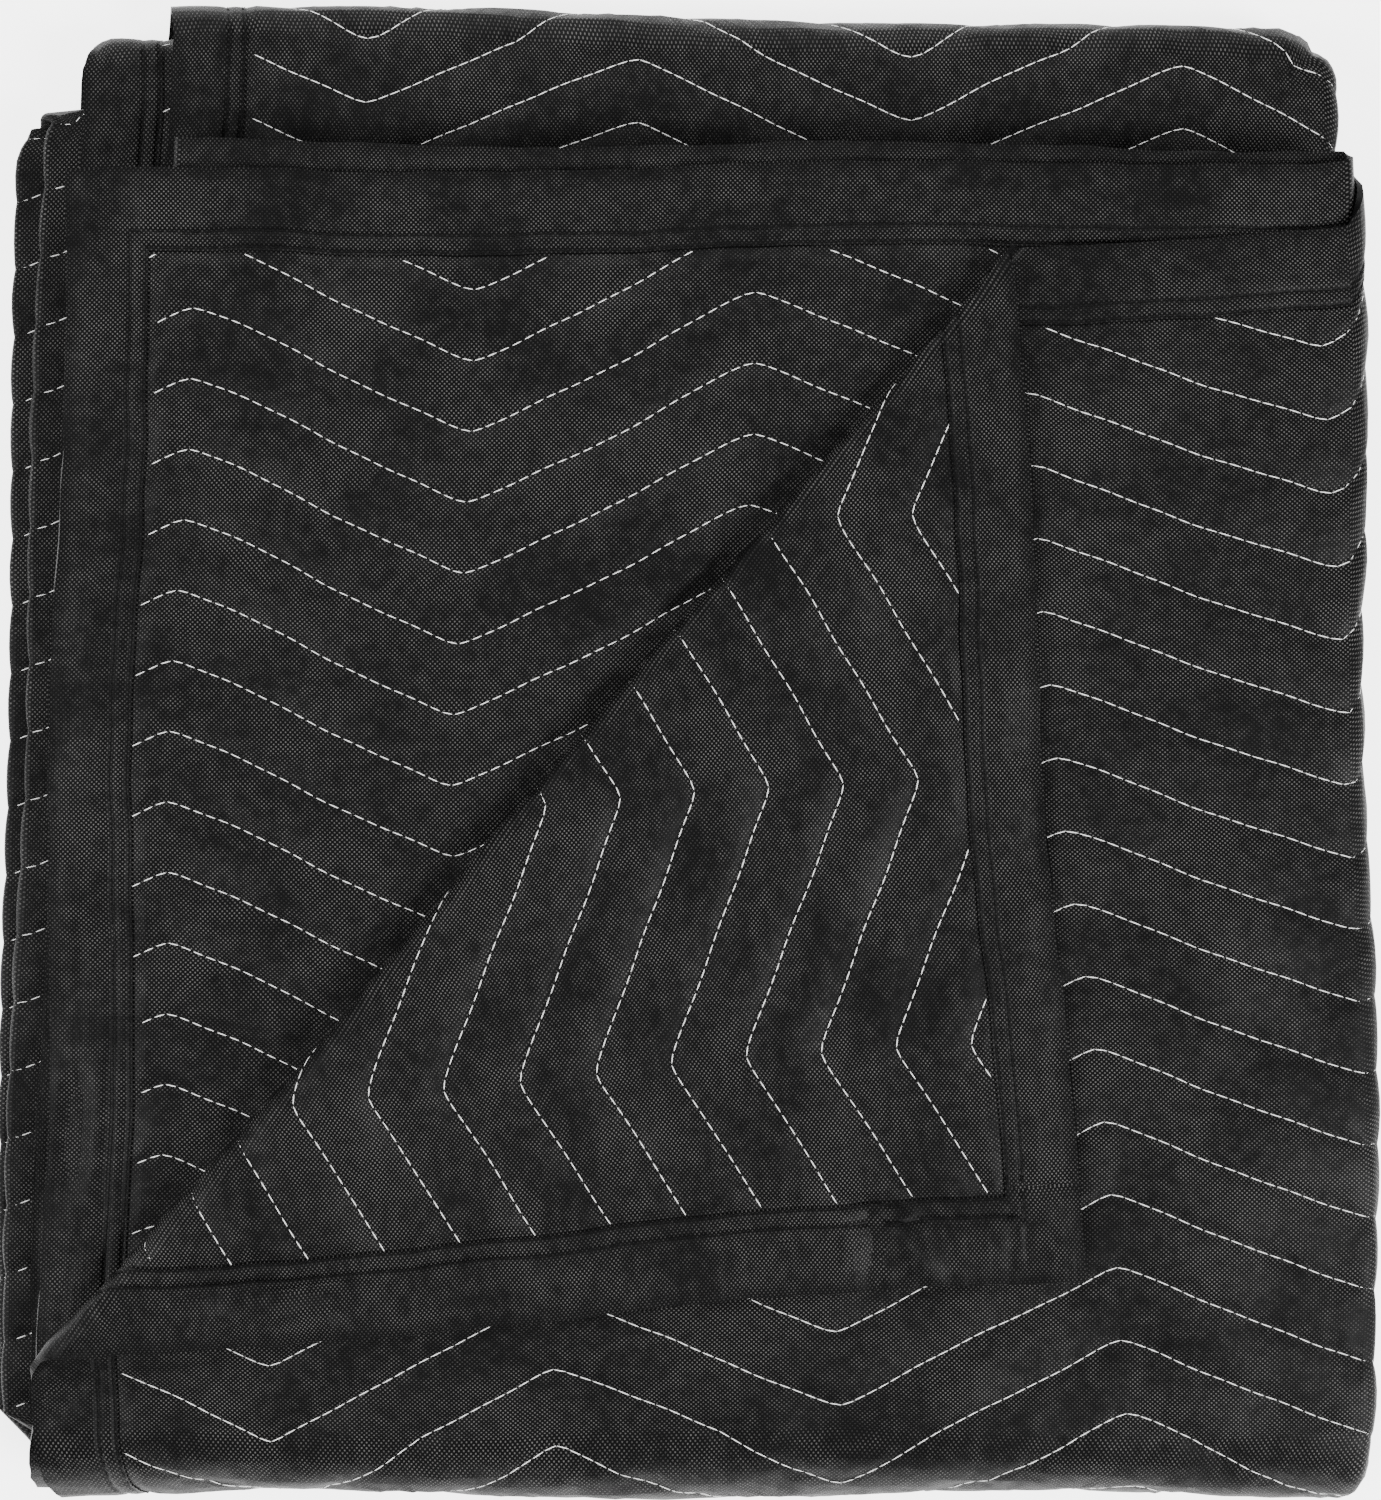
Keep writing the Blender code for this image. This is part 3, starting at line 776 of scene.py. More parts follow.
@dataclass
class EdgeRipple:
    """The small waves that the tight sewing draws into the cloth's edge."""

    folds: PadFolds
    width: float = 34.0
    height: float = 0.5
    up: Waves = Waves(1.0, 24.0, 31)
    across: Waves = Waves(1.0, 24.0, 32)
    cross: float = 0.3

    def heights(self, flat: np.ndarray) -> np.ndarray:
        """How far the middle of the cloth moves along its normal at each place of the flat cloth."""
        u, v = flat.T
        away_u, away_v = np.minimum(u, self.folds.total_u - u), np.minimum(v, self.folds.total_v - v)
        waves_up = self.up.at(v, u * self.cross) * smooth_step(1 - away_u / self.width)
        waves_across = self.across.at(u, v * self.cross) * smooth_step(1 - away_v / self.width)
        return self.height * (waves_up + waves_across)


class LaidCloth:
    """Places of the flat cloth, with where each lies on the folded pad and its normal there."""

    def __init__(self, folds: PadFolds, flat: Iterable[tuple[float, float]]) -> None:
        """Lays each place once.

        Args:
            folds: How the pad is folded.
            flat: The places, as u and v.
        """
        self.folds = folds
        self.flat = np.array(flat)
        laid = [folds.folded(u, v) for u, v in self.flat]
        self.points = np.array([point[:] for point, _ in laid])
        self.normals = np.array([normal[:] for _, normal in laid])
        self.ripple = EdgeRipple(folds).heights(self.flat)

    def skin(self, offsets: np.ndarray) -> np.ndarray:
        """The points some distance from the middle of the cloth, settled, in millimetres."""
        return self.folds.settle(self.points + self.normals * (offsets + self.ripple)[:, None])


class SolidCloth:
    """Joins skins of a flat mesh to one closed solid with the flat cloth as its UV map."""

    def __init__(self) -> None:
        """Starts an empty solid."""
        self.bm = bmesh.new()
        self.flat: list[tuple[float, float]] = []

    def add_skin(self, laid: LaidCloth, offsets: np.ndarray) -> list[bmesh.types.BMVert]:
        """Adds the points of one skin.

        Args:
            laid: The flat mesh's points on the pad.
            offsets: The distance of each from the middle of the cloth.

        Returns:
            The new points, in the flat mesh's order.
        """
        self.flat += [tuple(place) for place in laid.flat]
        return [self.bm.verts.new(point * MM) for point in laid.skin(offsets)]

    def cover(self, skin: list, faces: Iterable[bmesh.types.BMFace], side: Side) -> None:
        """Covers a skin with the flat mesh's faces, which point outwards on the given side."""
        for face in faces:
            ring = [skin[vert.index] for vert in face.verts]
            self.bm.faces.new(ring if side is Side.FRONT else ring[::-1])

    def wall(self, upper: list, lower: list, edge: tuple[int, int]) -> None:
        """Closes the cloth's thickness along one outline edge."""
        a, b = edge
        self.bm.faces.new([upper[b], upper[a], lower[a], lower[b]])

    @staticmethod
    def rim(faces: Sequence[bmesh.types.BMFace]) -> Iterable[tuple[int, int]]:
        """The outline edges of the flat faces, each with its face on the left."""
        inside = set(faces)
        for face in faces:
            for loop in face.loops:
                if sum(other in inside for other in loop.edge.link_faces) == 1:
                    yield loop.vert.index, loop.link_loop_next.vert.index

    def finish(
        self, name: str, sharp: float, second: Callable[[float, float], tuple[float, float]] | None = None
    ) -> bpy.types.Object:
        """Makes the object.

        Args:
            name: The piece's name.
            sharp: Corners sharper than this many degrees keep a hard edge.
            second: What a second UV map holds for a place of the flat cloth.

        Returns:
            The finished object, at the origin.
        """
        mesh = made_mesh(self.bm, name)
        flat = np.array(self.flat)
        loops = np.empty(len(mesh.loops), np.int32)
        mesh.loops.foreach_get("vertex_index", loops)
        maps = [("cloth", flat * MM)]
        if second:
            maps.append(("quilt", np.array([second(u, v) for u, v in flat])))
        for map_name, values in maps:
            layer = mesh.uv_layers.new(name=map_name)
            layer.data.foreach_set("uv", values[loops].astype(np.float32).ravel())
        shade_smooth(mesh)
        mesh.set_sharp_from_angle(angle=math.radians(sharp))
        mesh.validate()
        return add_object(name, mesh)


@dataclass
class QuiltedCloth:
    """The pad's cloth: two faces with thin fill between them, drawn together along the zigzag rows."""

    folds: PadFolds
    quilting: Quilting
    groove: float = 0.42
    crest: float = 1.45
    loft: float = 0.75
    hidden: float = 1.2
    pressed: float = 0.4
    rise: float = 4.0
    band: float = 27.3
    coarse: float = 34.0
    edge_step: float = 9.0
    fullness: float = 0.72
    flap_back: float = 0.45
    clear_of_roll: tuple[float, float] = (16.0, 14.0)
    clear_of_flap: tuple[float, float] = (7.0, 12.0)
    parts: tuple[float, ...] = (0.0, 0.07, 0.19, 0.39, 0.61, 0.81, 0.93)
    plain_parts: tuple[float, ...] = (0.0, 0.25, 0.5, 0.75)

    def loose(self, u: float, v: float, side: Side) -> float:
        """How free one side is to rise: 0 under other layers, 1 where nothing lies on it."""
        folds = self.folds
        on_top = u > folds.across.marks[6]
        if v < folds.up.marks[6] or not (on_top or u < folds.across.marks[1]):
            return 0.0
        if side is Side.BACK:
            return self.flap_back if on_top else 0.0
        point, _ = folds.lay(u, v)
        start, width = self.clear_of_roll if on_top else self.clear_of_flap
        return float(smooth_step((folds.past_fold(point.xy) - start) / width))

    def half_thickness(self, u: float, v: float, side: Side) -> float:
        """How far the cloth's face lies from its middle.

        Args:
            u: Distance across the flat cloth.
            v: Distance up the flat cloth.
            side: Which face.

        Returns:
            The distance, without a sign.
        """
        patch = self.quilting.at(u, v)
        inner = self.hidden
        if patch is not None:
            puff = abs(math.sin(math.pi * patch.phase(u, v))) ** self.fullness
            inner = self.groove + (self.crest - self.groove + self.loft * self.loose(u, v, side)) * puff
            if not patch.sewn:
                inner = min(inner, self.hidden)
        share = (self.folds.edge_distance(u, v) - self.band) / self.rise
        return self.pressed + (inner - self.pressed) * min(max(share, 0.0), 1.0)

    def flat_mesh(self) -> bmesh.types.BMesh:
        """The flat cloth with every row, fold and band cut into it."""
        cloth = FlatCloth(self.folds)
        across, up = self.folds.across, self.folds.up
        us, vs = set(cloth.fold_cuts(across)), set(cloth.fold_cuts(up))
        for total, lines in ((self.folds.total_u, us), (self.folds.total_v, vs)):
            for mark in (self.band, self.band + self.rise):
                lines |= {mark, total - mark}
        for patch in self.quilting.patches:
            us |= set(patch.u_range)
            vs |= set(patch.v_range)
        lines = (self._spaced(us), self._spaced(vs))
        bm = cloth.grid(*lines, lambda u, v: not self._on_patch(u, v))
        for axis in (0, 1):
            cloth.even_cuts(bm, bm.faces[:], axis, self.coarse)
        for axis, total in ((0, self.folds.total_v), (1, self.folds.total_u)):
            edge = []
            for face in bm.faces:
                away = face.calc_center_median()[1 - axis]
                if min(away, total - away) < self.band:
                    edge.append(face)
            cloth.even_cuts(bm, edge, axis, self.edge_step)
        for patch in self.quilting.patches:
            parts = self.parts if patch.sewn else self.plain_parts
            take_in(bm, cloth.patch_mesh(patch, parts, self._box(patch, lines), lines))
        cloth.meet(bm)
        cloth.cut_flap(bm)
        cloth.ready(bm)
        return bm

    def _box(
        self, patch: QuiltPatch, lines: tuple[Sequence[float], Sequence[float]]
    ) -> tuple[float, float, float, float]:
        """A patch's range of u and of v on the nearest main lines, without the band under the binding."""
        found = []
        for cuts, ends, total in zip(
            lines, (patch.u_range, patch.v_range), (self.folds.total_u, self.folds.total_v)
        ):
            for at in (max(ends[0], self.band), min(ends[1], total - self.band)):
                found.append(min(cuts, key=lambda cut, at=at: abs(cut - at)))
        return tuple(found)

    def _on_patch(self, u: float, v: float) -> bool:
        """Whether a place is on a patch and not under the binding."""
        return self.quilting.at(u, v) is not None and self.folds.edge_distance(u, v) > self.band

    @staticmethod
    def _spaced(lines: Iterable[float]) -> list[float]:
        """The lines in order, without those that nearly meet."""
        found: list[float] = []
        for line in sorted(lines):
            if not found or line - found[-1] > 0.05:
                found.append(line)
        return found

    def row_map(self, u: float, v: float) -> tuple[float, float]:
        """The second UV map: the upright place in metres, and the phase between the rows."""
        patch = self.quilting.at(u, v)
        return (patch.upright(u, v) * MM, patch.phase(u, v)) if patch else (u * MM, 0.5)

    def build(self) -> bpy.types.Object:
        """Makes the whole cloth as one closed solid.

        Returns:
            The cloth.
        """
        bm = self.flat_mesh()
        laid = LaidCloth(self.folds, [vert.co[:2] for vert in bm.verts])
        solid = SolidCloth()
        sides = {}
        for side in Side:
            thick = np.array([self.half_thickness(u, v, side) for u, v in laid.flat])
            sides[side] = solid.add_skin(laid, thick * side.value)
            solid.cover(sides[side], bm.faces, side)
        for edge in solid.rim(bm.faces):
            solid.wall(sides[Side.FRONT], sides[Side.BACK], edge)
        bm.free()
        return solid.finish("quilted_cloth", 75.0, self.row_map)


@dataclass
class EdgeBinding:
    """The strip folded over the cut edge of the cloth all round, sewn down with two rows."""

    folds: PadFolds
    width: float = 27.0
    cloth: float = 0.45
    gap: float = 0.3
    room: float = 0.9
    pressed: float = 0.4
    seams: tuple[float, float] = (20.3, 26.0)
    seam_depth: float = 0.45
    seam_width: float = 1.1
    puff: float = 0.3
    lap: float = 0.5
    lap_fade: float = 1.2
    step: float = 6.0
    marks: tuple[float, ...] = (1.6, 4.5, 8.5, 12.5, 16.5, 19.2, 20.3, 21.4, 23.2, 25.0, 26.0)

    def rise(self, u: float, v: float) -> float:
        """How far the strip's outer face lies above its plain height.

        Args:
            u: Distance across the flat cloth.
            v: Distance up the flat cloth.

        Returns:
            The added height: lower on the seams, higher between them, and doubled at the corners.
        """
        folds = self.folds
        away = folds.edge_distance(u, v)
        pulled = sum(math.exp(-(((away - seam) / self.seam_width) ** 2)) for seam in self.seams)
        body = self.puff * math.sin(math.pi * min(max(away, 0.0) / self.seams[0], 1.0))
        corner = self.lap
        for at, total in ((u, folds.total_u), (v, folds.total_v)):
            corner *= float(smooth_step((self.width + 1.0 - min(at, total - at)) / self.lap_fade))
        return body - self.seam_depth * pulled + corner

    def outer(self, u: float, v: float) -> float:
        """How far the strip's outer face lies from the middle of the cloth."""
        return self.pressed + self.gap + self.cloth + self.rise(u, v)

    def build(self) -> bpy.types.Object:
        """Makes the strip as one closed ring, open towards the middle of the cloth.

        Returns:
            The binding.
        """
        folds = self.folds
        cloth = FlatCloth(folds)
        lines = []
        for level, total in ((folds.across, folds.total_u), (folds.up, folds.total_v)):
            inner = set(cloth.fold_cuts(level)[1:-1]) | {self.width, total - self.width}
            for mark in self.marks:
                inner |= {mark, total - mark}
            count = int(total / self.step)
            taken = list(inner)
            for index in range(1, count):
                at = total * index / count
                if min(abs(at - other) for other in taken) > self.step * 0.4:
                    inner.add(at)
            ends = [-self.room - self.cloth, -self.room]
            lines.append(ends + sorted(inner) + [total + self.room, total + self.room + self.cloth])
        bm = cloth.grid(*lines, lambda u, v: folds.edge_distance(u, v) < self.width)
        cloth.cut_flap(bm)
        cloth.ready(bm)
        laid = LaidCloth(folds, [vert.co[:2] for vert in bm.verts])
        solid = SolidCloth()
        outer = np.array([self.outer(u, v) for u, v in laid.flat])
        inner = np.full_like(outer, self.pressed + self.gap)
        skins = [solid.add_skin(laid, height) for height in (outer, inner, -inner, -outer)]
        faces = bm.faces[:]
        slot = [face for face in faces if folds.edge_distance(*face.calc_center_median().xy) > -self.room]
        solid.cover(skins[0], faces, Side.FRONT)
        solid.cover(skins[1], slot, Side.BACK)
        solid.cover(skins[2], slot, Side.FRONT)
        solid.cover(skins[3], faces, Side.BACK)
        for edge in solid.rim(faces):
            if folds.edge_distance(*laid.flat[edge[0]]) > 0:
                solid.wall(skins[0], skins[1], edge)
                solid.wall(skins[2], skins[3], edge)
            else:
                solid.wall(skins[0], skins[3], edge)
        for a, b in solid.rim(slot):
            if folds.edge_distance(*laid.flat[a]) < 0:
                solid.wall(skins[1], skins[2], (b, a))
        bm.free()
        return solid.finish("edge_binding_strip", 50.0)


class Stitch(NamedTuple):
    """One visible length of thread, between two places of the flat cloth."""

    start: Vector
    end: Vector
    side: Side


@dataclass
class Sewing:
    """Lays lengths of thread on the folded cloth. Each is one small rounded body, and all are one mesh."""

    folds: PadFolds
    surface: Callable[[float, float, Side], float]
    radius: float = 0.21
    sides: int = 5
    rings: int = 4
    lifted: float = 0.35
    bluntness: float = 0.8

    def build(self, name: str, stitches: Sequence[Stitch]) -> bpy.types.Object:
        """Makes one mesh of all the stitches.

        Args:
            name: The piece's name.
            stitches: Where each lies.

        Returns:
            The thread.
        """
        laid = LaidCloth(self.folds, [end[:2] for stitch in stitches for end in (stitch.start, stitch.end)])
        sides = [stitch.side for stitch in stitches for _ in range(2)]
        heights = np.array([self.surface(u, v, side) for (u, v), side in zip(laid.flat, sides)])
        facing = np.array([side.value for side in sides])
        outward = laid.normals * facing[:, None]
        placed = laid.skin(heights * facing) + outward * self.radius * self.lifted
        bead = bmesh.new()
        bmesh.ops.create_uvsphere(bead, u_segments=self.sides, v_segments=self.rings, radius=1.0)
        bmesh.ops.triangulate(bead, faces=bead.faces[:], quad_method="FIXED")
        shape = np.array([vert.co[:] for vert in bead.verts])
        bead.verts.index_update()
        corners = np.array([[vert.index for vert in face.verts] for face in bead.faces])
        bead.free()
        starts, stops, out = placed[0::2], placed[1::2], outward[0::2]
        along = stops - starts
        length = np.linalg.norm(along, axis=1, keepdims=True)
        along = along / np.maximum(length, 1e-6)
        across = np.cross(along, out)
        across /= np.maximum(np.linalg.norm(across, axis=1, keepdims=True), 1e-6)
        over = np.cross(across, along)
        middle = (starts + stops) / 2
        blunt = np.sign(shape[:, 2]) * np.abs(shape[:, 2]) ** self.bluntness
        verts = (
            middle[:, None, :]
            + across[:, None, :] * shape[None, :, 0:1] * self.radius
            + over[:, None, :] * shape[None, :, 1:2] * self.radius
            + along[:, None, :] * blunt[None, :, None] * length[:, None, :] / 2
        )
        faces = (corners[None] + np.arange(len(starts))[:, None, None] * len(shape)).reshape(-1, 3)
        mesh = bpy.data.meshes.new(name)
        mesh.from_pydata((verts.reshape(-1, 3) * MM).tolist(), [], faces.tolist())
        shade_smooth(mesh)
        mesh.validate()
        return add_object(name, mesh)


@dataclass
class QuiltingThread:
    """The white thread of the zigzag rows."""

    folds: PadFolds
    quilting: Quilting
    cloth: QuiltedCloth
    stitch_pitch: float = 4.7
    margin: float = 27.6
    front_dash: float = 3.6

    def stitches(self) -> list[Stitch]:
        """Every stitch of every patch that can be seen."""
        found = []
        for patch in self.quilting.patches:
            if not patch.sewn:
                continue
            dashes = {Side.FRONT: self.front_dash, Side.BACK: patch.dash}
            if not patch.both_sides:
                dashes = {patch.visible: patch.dash}
            count = max(1, round(math.hypot(patch.flat_half, patch.drop) / self.stitch_pitch))
            for start, end, first, last in patch.strips():
                for row in range(first, last + 1):
                    for index in range(count):
                        middle = patch.flat_place(start + (end - start) * (index + 0.5) / count, row)
                        ahead = patch.flat_place(start + (end - start) * (index + 0.6) / count, row)
                        if not patch.holds(middle.x, middle.y):
                            continue
                        if self.folds.edge_distance(middle.x, middle.y) < self.margin:
                            continue
                        along = (ahead - middle).normalized()
                        for side, dash in dashes.items():
                            reach = along * (dash / 2)
                            found.append(Stitch(middle - reach, middle + reach, side))
        return found

    def build(self) -> bpy.types.Object:
        """Makes the white thread."""
        sewing = Sewing(self.folds, self.cloth.half_thickness)
        return sewing.build("quilting_thread", self.stitches())


class BoundEdge(NamedTuple):
    """One length of the cloth's edge whose seam rows can be seen."""

    across: bool
    far_end: bool
    start: float
    end: float
    sides: tuple[Side, ...]


@dataclass
class BindingThread:
    """The black thread of the two seam rows along the binding."""

    folds: PadFolds
    binding: EdgeBinding
    stitch_pitch: float = 4.2
    dash: float = 3.3
    round_top: float = 30.0
    round_side: float = 10.0
    below_rim: float = 120.0

    def edges(self) -> tuple[BoundEdge, ...]:
        """The lengths of edge that show: both sides of the turned layer, one side of the others."""
        across, up = self.folds.across.marks, self.folds.up.marks
        top = (up[6] - self.round_top, up[7])
        behind = (up[3] - self.below_rim, up[4])
        return (
            BoundEdge(False, True, *top, (Side.FRONT, Side.BACK)),
            BoundEdge(True, True, across[6] - self.round_side, across[7], (Side.FRONT, Side.BACK)),
            BoundEdge(True, True, 0.0, across[1], (Side.FRONT,)),
            BoundEdge(False, False, *top, (Side.FRONT,)),
            BoundEdge(False, False, *behind, (Side.FRONT,)),
            BoundEdge(False, True, *behind, (Side.BACK,)),
        )

    def stitches(self) -> list[Stitch]:
        """Every stitch of both rows."""
        found = []
        for edge in self.edges():
            total = self.folds.total_v if edge.across else self.folds.total_u
            other = self.folds.total_u if edge.across else self.folds.total_v
            for seam in self.binding.seams:
                away = total - seam if edge.far_end else seam
                start, end = max(edge.start, seam), min(edge.end, other - seam)
                count = int((end - start) / self.stitch_pitch)
                for index in range(count):
                    at = start + (index + 0.5) * self.stitch_pitch
                    places = [at - self.dash / 2, at + self.dash / 2]
                    pair = [Vector((p, away, 0)) if edge.across else Vector((away, p, 0)) for p in places]
                    found += [Stitch(*pair, side) for side in edge.sides]
        return found

    def build(self) -> bpy.types.Object:
        """Makes the black thread."""
        sewing = Sewing(self.folds, lambda u, v, _: self.binding.outer(u, v), radius=0.24, rings=3)
        return sewing.build("binding_thread", self.stitches())


class Value:
    """A shader value that turns Python arithmetic into Math nodes."""

    def __init__(self, tree: ShaderTree, socket: bpy.types.NodeSocket) -> None:
        """Wraps one output socket of a tree."""
        self.tree = tree
        self.socket = socket

    def _math(self, operation: str, *others: Value | float) -> Value:
        """Adds one Math node on this value and the others."""
        values = {0: self, **{index + 1: other for index, other in enumerate(others)}}
        return self.tree.node("ShaderNodeMath", {"operation": operation}, values)

    def __add__(self, other: Value | float) -> Value:
        """The sum."""
        return self._math("ADD", other)

    def __mul__(self, other: Value | float) -> Value:
        """The product."""
        return self._math("MULTIPLY", other)

    def __sub__(self, other: Value | float) -> Value:
        """The difference."""
        return self._math("SUBTRACT", other)

    def __rsub__(self, other: float) -> Value:
        """The difference from a number."""
        return self * -1.0 + other

    def sine(self) -> Value:
        """The sine."""
        return self._math("SINE")

    def least(self, other: Value) -> Value:
        """The lower of the two values."""
        return self._math("MINIMUM", other)

    def plain(self) -> Value:
        """The value without its sign."""
        return self._math("ABSOLUTE")

    def away_from_whole(self) -> Value:
        """How far the value lies from the nearest whole number."""
        return self._math("PINGPONG", 0.5)

    def between(self, low: float, high: float) -> Value:
        """An eased 0 to 1 as the value goes from low to high."""
        inputs = {"Value": self, "From Min": low, "From Max": high}
        return self.tree.node("ShaderNodeMapRange", {"interpolation_type": "SMOOTHSTEP"}, inputs)


class ShaderTree:
    """The node tree of one finish."""

    def __init__(self, name: str) -> None:
        """Starts a material with its own shader.

        Args:
            name: The material's name.
        """
        self.material = bpy.data.materials.new(name)
        self.material.use_nodes = True
        self.nodes = self.material.node_tree.nodes
        self.links = self.material.node_tree.links
        self.shader = self.nodes["Principled BSDF"]

    def node(
        self, kind: str, settings: dict[str, object], inputs: dict[str | int, object], output: str | int = 0
    ) -> Value:
        """Adds one node.

        Args:
            kind: Blender's name of the node type.
            settings: The node's own settings, set before its sockets.
            inputs: Numbers, colours or values for its sockets.
            output: Which socket is given back.

        Returns:
            The wrapped output.
        """
        made = self.nodes.new(kind)
        for key, value in settings.items():
            setattr(made, key, value)
        for key, value in inputs.items():
            if isinstance(value, Value):
                self.links.new(value.socket, made.inputs[key])
            else:
                made.inputs[key].default_value = value
        return Value(self, made.outputs[output])

    def uv(self, name: str) -> Value:
        """One UV map of the piece."""
        return self.node("ShaderNodeUVMap", {"uv_map": name}, {})

    def part(self, vector: Value, axis: str) -> Value:
        """One part of a vector."""
        return self.node("ShaderNodeSeparateXYZ", {}, {"Vector": vector}, axis)

    def grain(self, vector: Value, scale: float, detail: float = 2.0, roughness: float = 0.5) -> Value:
        """Soft irregular patches, from 0 to 1."""
        inputs = {"Vector": vector, "Scale": scale, "Detail": detail, "Roughness": roughness}
        return self.node("ShaderNodeTexNoise", {}, inputs)

    def stretched(self, vector: Value, scale: tuple[float, float, float]) -> Value:
        """The vector with its parts scaled."""
        return self.node("ShaderNodeVectorMath", {"operation": "MULTIPLY"}, {0: vector, 1: scale})

    def mixed(self, factor: Value, low: tuple[float, ...], high: tuple[float, ...]) -> Value:
        """A colour between two."""
        inputs = {0: factor, 6: (*low, 1.0), 7: (*high, 1.0)}
        return self.node("ShaderNodeMix", {"data_type": "RGBA"}, inputs, 2)

    def set_shader(self, **values: object) -> None:
        """Sets the shader's own sockets, by name with underscores for spaces."""
        for key, value in values.items():
            socket = self.shader.inputs[key.replace("_", " ")]
            if isinstance(value, Value):
                self.links.new(value.socket, socket)
            else:
                socket.default_value = value

    def bump(self, height: Value, strength: float) -> Value:
        """Raised detail from a height in millimetres."""
        return self.node("ShaderNodeBump", {}, {"Height": height, "Strength": strength, "Distance": MM})


@dataclass(frozen=True)
class PadClothFinish:
    """Black spun cloth with fine embossed dots and puckers along the rows; the dots' pale colour is painted
    glint, brighter in patches of painted sheen where the cloth is also glossier, and the binding has
    painted shade along its rolled edge and seam rows.
    """

    name: str
    dark: tuple[float, float, float] = (0.0014, 0.0014, 0.0015)
    # pale: the dots' colour, a painted glint on the embossed bond points.
    pale: tuple[float, float, float] = (0.088, 0.086, 0.084)
    roughness: tuple[float, float] = (0.42, 0.62)
    gloss: float = 0.07
    dot_pitch: float = 1.62
    dot_height: float = 0.05
    fibre_height: float = 0.04
    fine_height: float = 0.1
    waver: float = 0.45
    pucker: float = 0.5
    fibre: tuple[float, float, float] = (900.0, 3.0, 0.65)
    fine: tuple[float, float, float] = (210.0, 3.0, 0.6)
    soft: tuple[float, float, float] = (75.0, 3.0, 0.55)
    patches: tuple[float, float, float] = (24.0, 4.0, 0.62)
    rows: bool = True
    flat: tuple[float, float] = (0.0, 0.0)
    seams: tuple[float, ...] = ()

    def dress(self, piece: bpy.types.Object) -> None:
        """Makes the material and puts it on the piece."""
        tree = ShaderTree(self.name)
        uv = tree.uv("cloth")
        across, up = tree.part(uv, "X"), tree.part(uv, "Y")
        turn = math.tau / (self.dot_pitch * MM)
        dots = ((across * turn).sine() * (up * turn).sine()).between(0.2, 0.85)
        grains = (self.fibre, self.fine, self.soft, self.patches)
        fibre, fine, soft, patches = (tree.grain(uv, *grain) for grain in grains)
        height = dots * self.dot_height + fibre * self.fibre_height + fine * self.fine_height
        height = height + soft * self.waver
        # Painted sheen: soft patches where the dots' painted glint shows brighter; the colour mix is dots
        # times this painted sheen.
        painted_sheen = (patches * 0.7 + fine * 0.5).between(0.42, 0.78)
        painted_glint_and_shade = dots * (painted_sheen * 0.88 + 0.12)
        if self.rows:
            rows = tree.uv("quilt")
            near = 1.0 - tree.part(rows, "Y").away_from_whole().between(0.02, 0.24)
            tucks = tree.grain(tree.stretched(rows, (230.0, 1.6, 1.0)), 1.0)
            height = height + (tucks - 0.5) * near * self.pucker
        else:
            for scale in ((32.0, 190.0, 1.0), (190.0, 32.0, 1.0)):
                height = height + tree.grain(tree.stretched(uv, scale), 1.0) * self.pucker
            wide, high = self.flat
            edge = across.least(wide * MM - across).least(up.least(high * MM - up)) * (1 / MM)
            # Painted shade: the binding's cloth darker over the last few millimetres towards its rolled
            # outer edge.
            painted_glint_and_shade = painted_glint_and_shade * (edge.between(-1.0, 5.0) * 0.5 + 0.5)
            # Painted shade in the seam grooves: the binding darker along each seam row, beside a real
            # groove in the bump.
            for seam in self.seams:
                painted_glint_and_shade = painted_glint_and_shade * ((edge - seam).plain().between(0.2, 1.2) * 0.6 + 0.4)
                height = height + (edge - seam).plain().between(0.0, 1.6) * 0.5
        tree.set_shader(
            Base_Color=tree.mixed(painted_glint_and_shade, self.dark, self.pale),
            Roughness=(1.0 - patches) * (self.roughness[1] - self.roughness[0]) + self.roughness[0],
            Metallic=0.0,
            Specular_IOR_Level=self.gloss,
            Normal=tree.bump(height, 1.0),
        )
        piece.data.materials.append(tree.material)


@dataclass(frozen=True)
class ThreadFinish:
    """Spun thread with a little unevenness along its length."""

    name: str
    dark: tuple[float, float, float]
    pale: tuple[float, float, float]
    gloss: float = 0.5
    roughness: float = 0.6

    def dress(self, piece: bpy.types.Object) -> None:
        """Makes the material and puts it on the piece."""
        tree = ShaderTree(self.name)
        place = tree.node("ShaderNodeTexCoord", {}, {}, "Object")
        patches = tree.grain(place, 160.0)
        tree.set_shader(
            Base_Color=tree.mixed(patches, self.dark, self.pale),
            Roughness=self.roughness,
            Specular_IOR_Level=self.gloss,
            Normal=tree.bump(tree.grain(place, 2600.0, 1.0) * 0.1, 0.6),
        )
        piece.data.materials.append(tree.material)


class SoftLight(NamedTuple):
    """A square soft light that faces the pad. Its place and size are in metres, its power in watts."""

    name: str
    at: tuple[float, float, float]
    size: float
    power: float

    def hang(self) -> None:
        """Adds the light to the scene."""
        lamp = bpy.data.lights.new(self.name, "AREA")
        lamp.shape = "SQUARE"
        lamp.size = self.size
        lamp.energy = self.power
        holder = add_object(self.name, lamp)
        holder.location = self.at
        holder.rotation_mode = "QUATERNION"
        holder.rotation_quaternion = (-Vector(self.at)).to_track_quat("-Z", "Y")


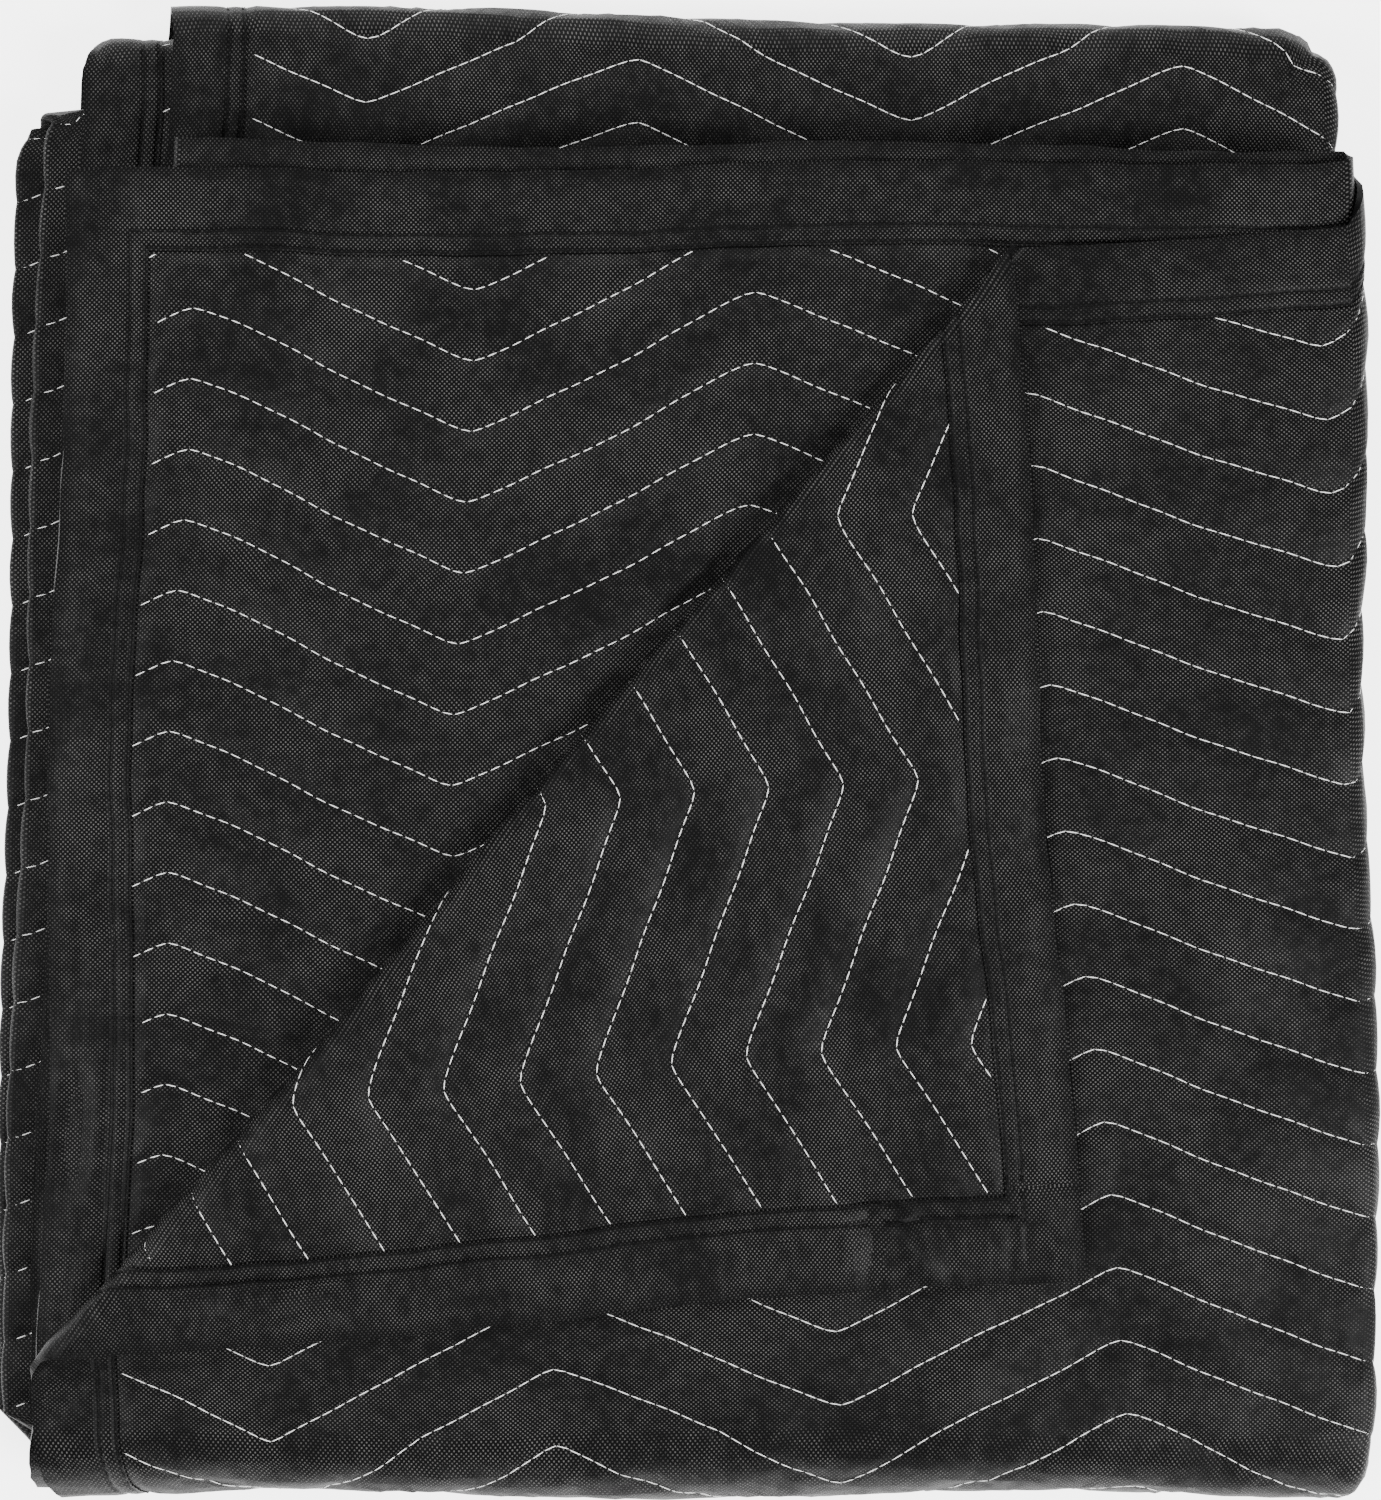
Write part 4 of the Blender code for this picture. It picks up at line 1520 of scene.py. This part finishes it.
@dataclass
class Studio:
    """Pale floor, soft lights and the camera straight above. Lengths are in metres."""

    lights: tuple[SoftLight, ...] = (
        SoftLight("right_light", (1.6, -0.9, 1.6), 0.9, 100.0),
        SoftLight("left_light", (-1.8, -0.4, 1.6), 1.2, 75.0),
        SoftLight("far_light", (-0.2, 2.1, 1.7), 1.4, 60.0),
    )
    height: float = 1.05
    top: float = 0.056
    sensor: float = 36.0
    floor_size: float = 4.0
    floor_colour: tuple[float, float, float] = (0.85, 0.85, 0.85)
    floor_glow: float = 4.0
    sky_strength: float = 0.3

    def floor(self) -> None:
        """A wide pale floor under the pad."""
        bm = bmesh.new()
        bmesh.ops.create_grid(bm, x_segments=1, y_segments=1, size=self.floor_size)
        mesh = made_mesh(bm, "floor")
        tree = ShaderTree("floor_paint")
        white = (*self.floor_colour, 1.0)
        glow = {"Emission_Color": white, "Emission_Strength": self.floor_glow}
        tree.set_shader(Base_Color=white, Roughness=0.8, **glow)
        mesh.materials.append(tree.material)
        add_object("floor", mesh)

    def build(self) -> None:
        """Makes the floor, the lights, the sky and the camera."""
        self.floor()
        for light in self.lights:
            light.hang()
        world = bpy.data.worlds.new("studio_sky")
        world.use_nodes = True
        sky = world.node_tree.nodes["Background"]
        sky.inputs["Color"].default_value = (1.0, 1.0, 1.0, 1.0)
        sky.inputs["Strength"].default_value = self.sky_strength
        bpy.context.scene.world = world
        lens = bpy.data.cameras.new("camera")
        lens.sensor_width = self.sensor
        lens.lens = self.sensor * self.height / (PHOTO_HEIGHT * MM_PER_PIXEL * MM)
        camera = add_object("camera", lens)
        camera.location = (-MIDDLE[0] * MM, -MIDDLE[1] * MM, self.top + self.height)
        bpy.context.scene.camera = camera


def main() -> None:
    """Builds, dresses and attaches every piece, then sets up the studio."""
    logging.basicConfig(level=logging.INFO, format="%(message)s")
    folds = PadFolds()
    quilting = Quilting(folds)
    cloth = QuiltedCloth(folds, quilting)
    panel = cloth.build()
    LOG.info("quilted cloth: %d faces", len(panel.data.polygons))
    binding = EdgeBinding(folds)
    strip = binding.build()
    LOG.info("edge binding: %d faces", len(strip.data.polygons))
    white = QuiltingThread(folds, quilting, cloth).build()
    LOG.info("quilting thread: %d faces", len(white.data.polygons))
    black = BindingThread(folds, binding).build()
    LOG.info("binding thread: %d faces", len(black.data.polygons))
    PadClothFinish("quilted_cloth").dress(panel)
    bound = (folds.total_u, folds.total_v)
    PadClothFinish("binding_cloth", rows=False, flat=bound, seams=binding.seams).dress(strip)
    ThreadFinish("white_thread", (0.78, 0.78, 0.77), (0.93, 0.93, 0.92)).dress(white)
    ThreadFinish("black_thread", (0.002, 0.002, 0.002), (0.006, 0.006, 0.006), 0.08).dress(black)
    for piece in (panel, strip, white, black):
        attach(piece, "root")
    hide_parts("quilted_panel")
    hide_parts("edge_binding")
    edge_length = 2 * (folds.total_u + folds.total_v) * MM
    folds.total_u * MM
    folds.total_v * MM
    2 * binding.width * MM
    Studio().build()


if __name__ == "__main__":
    main()
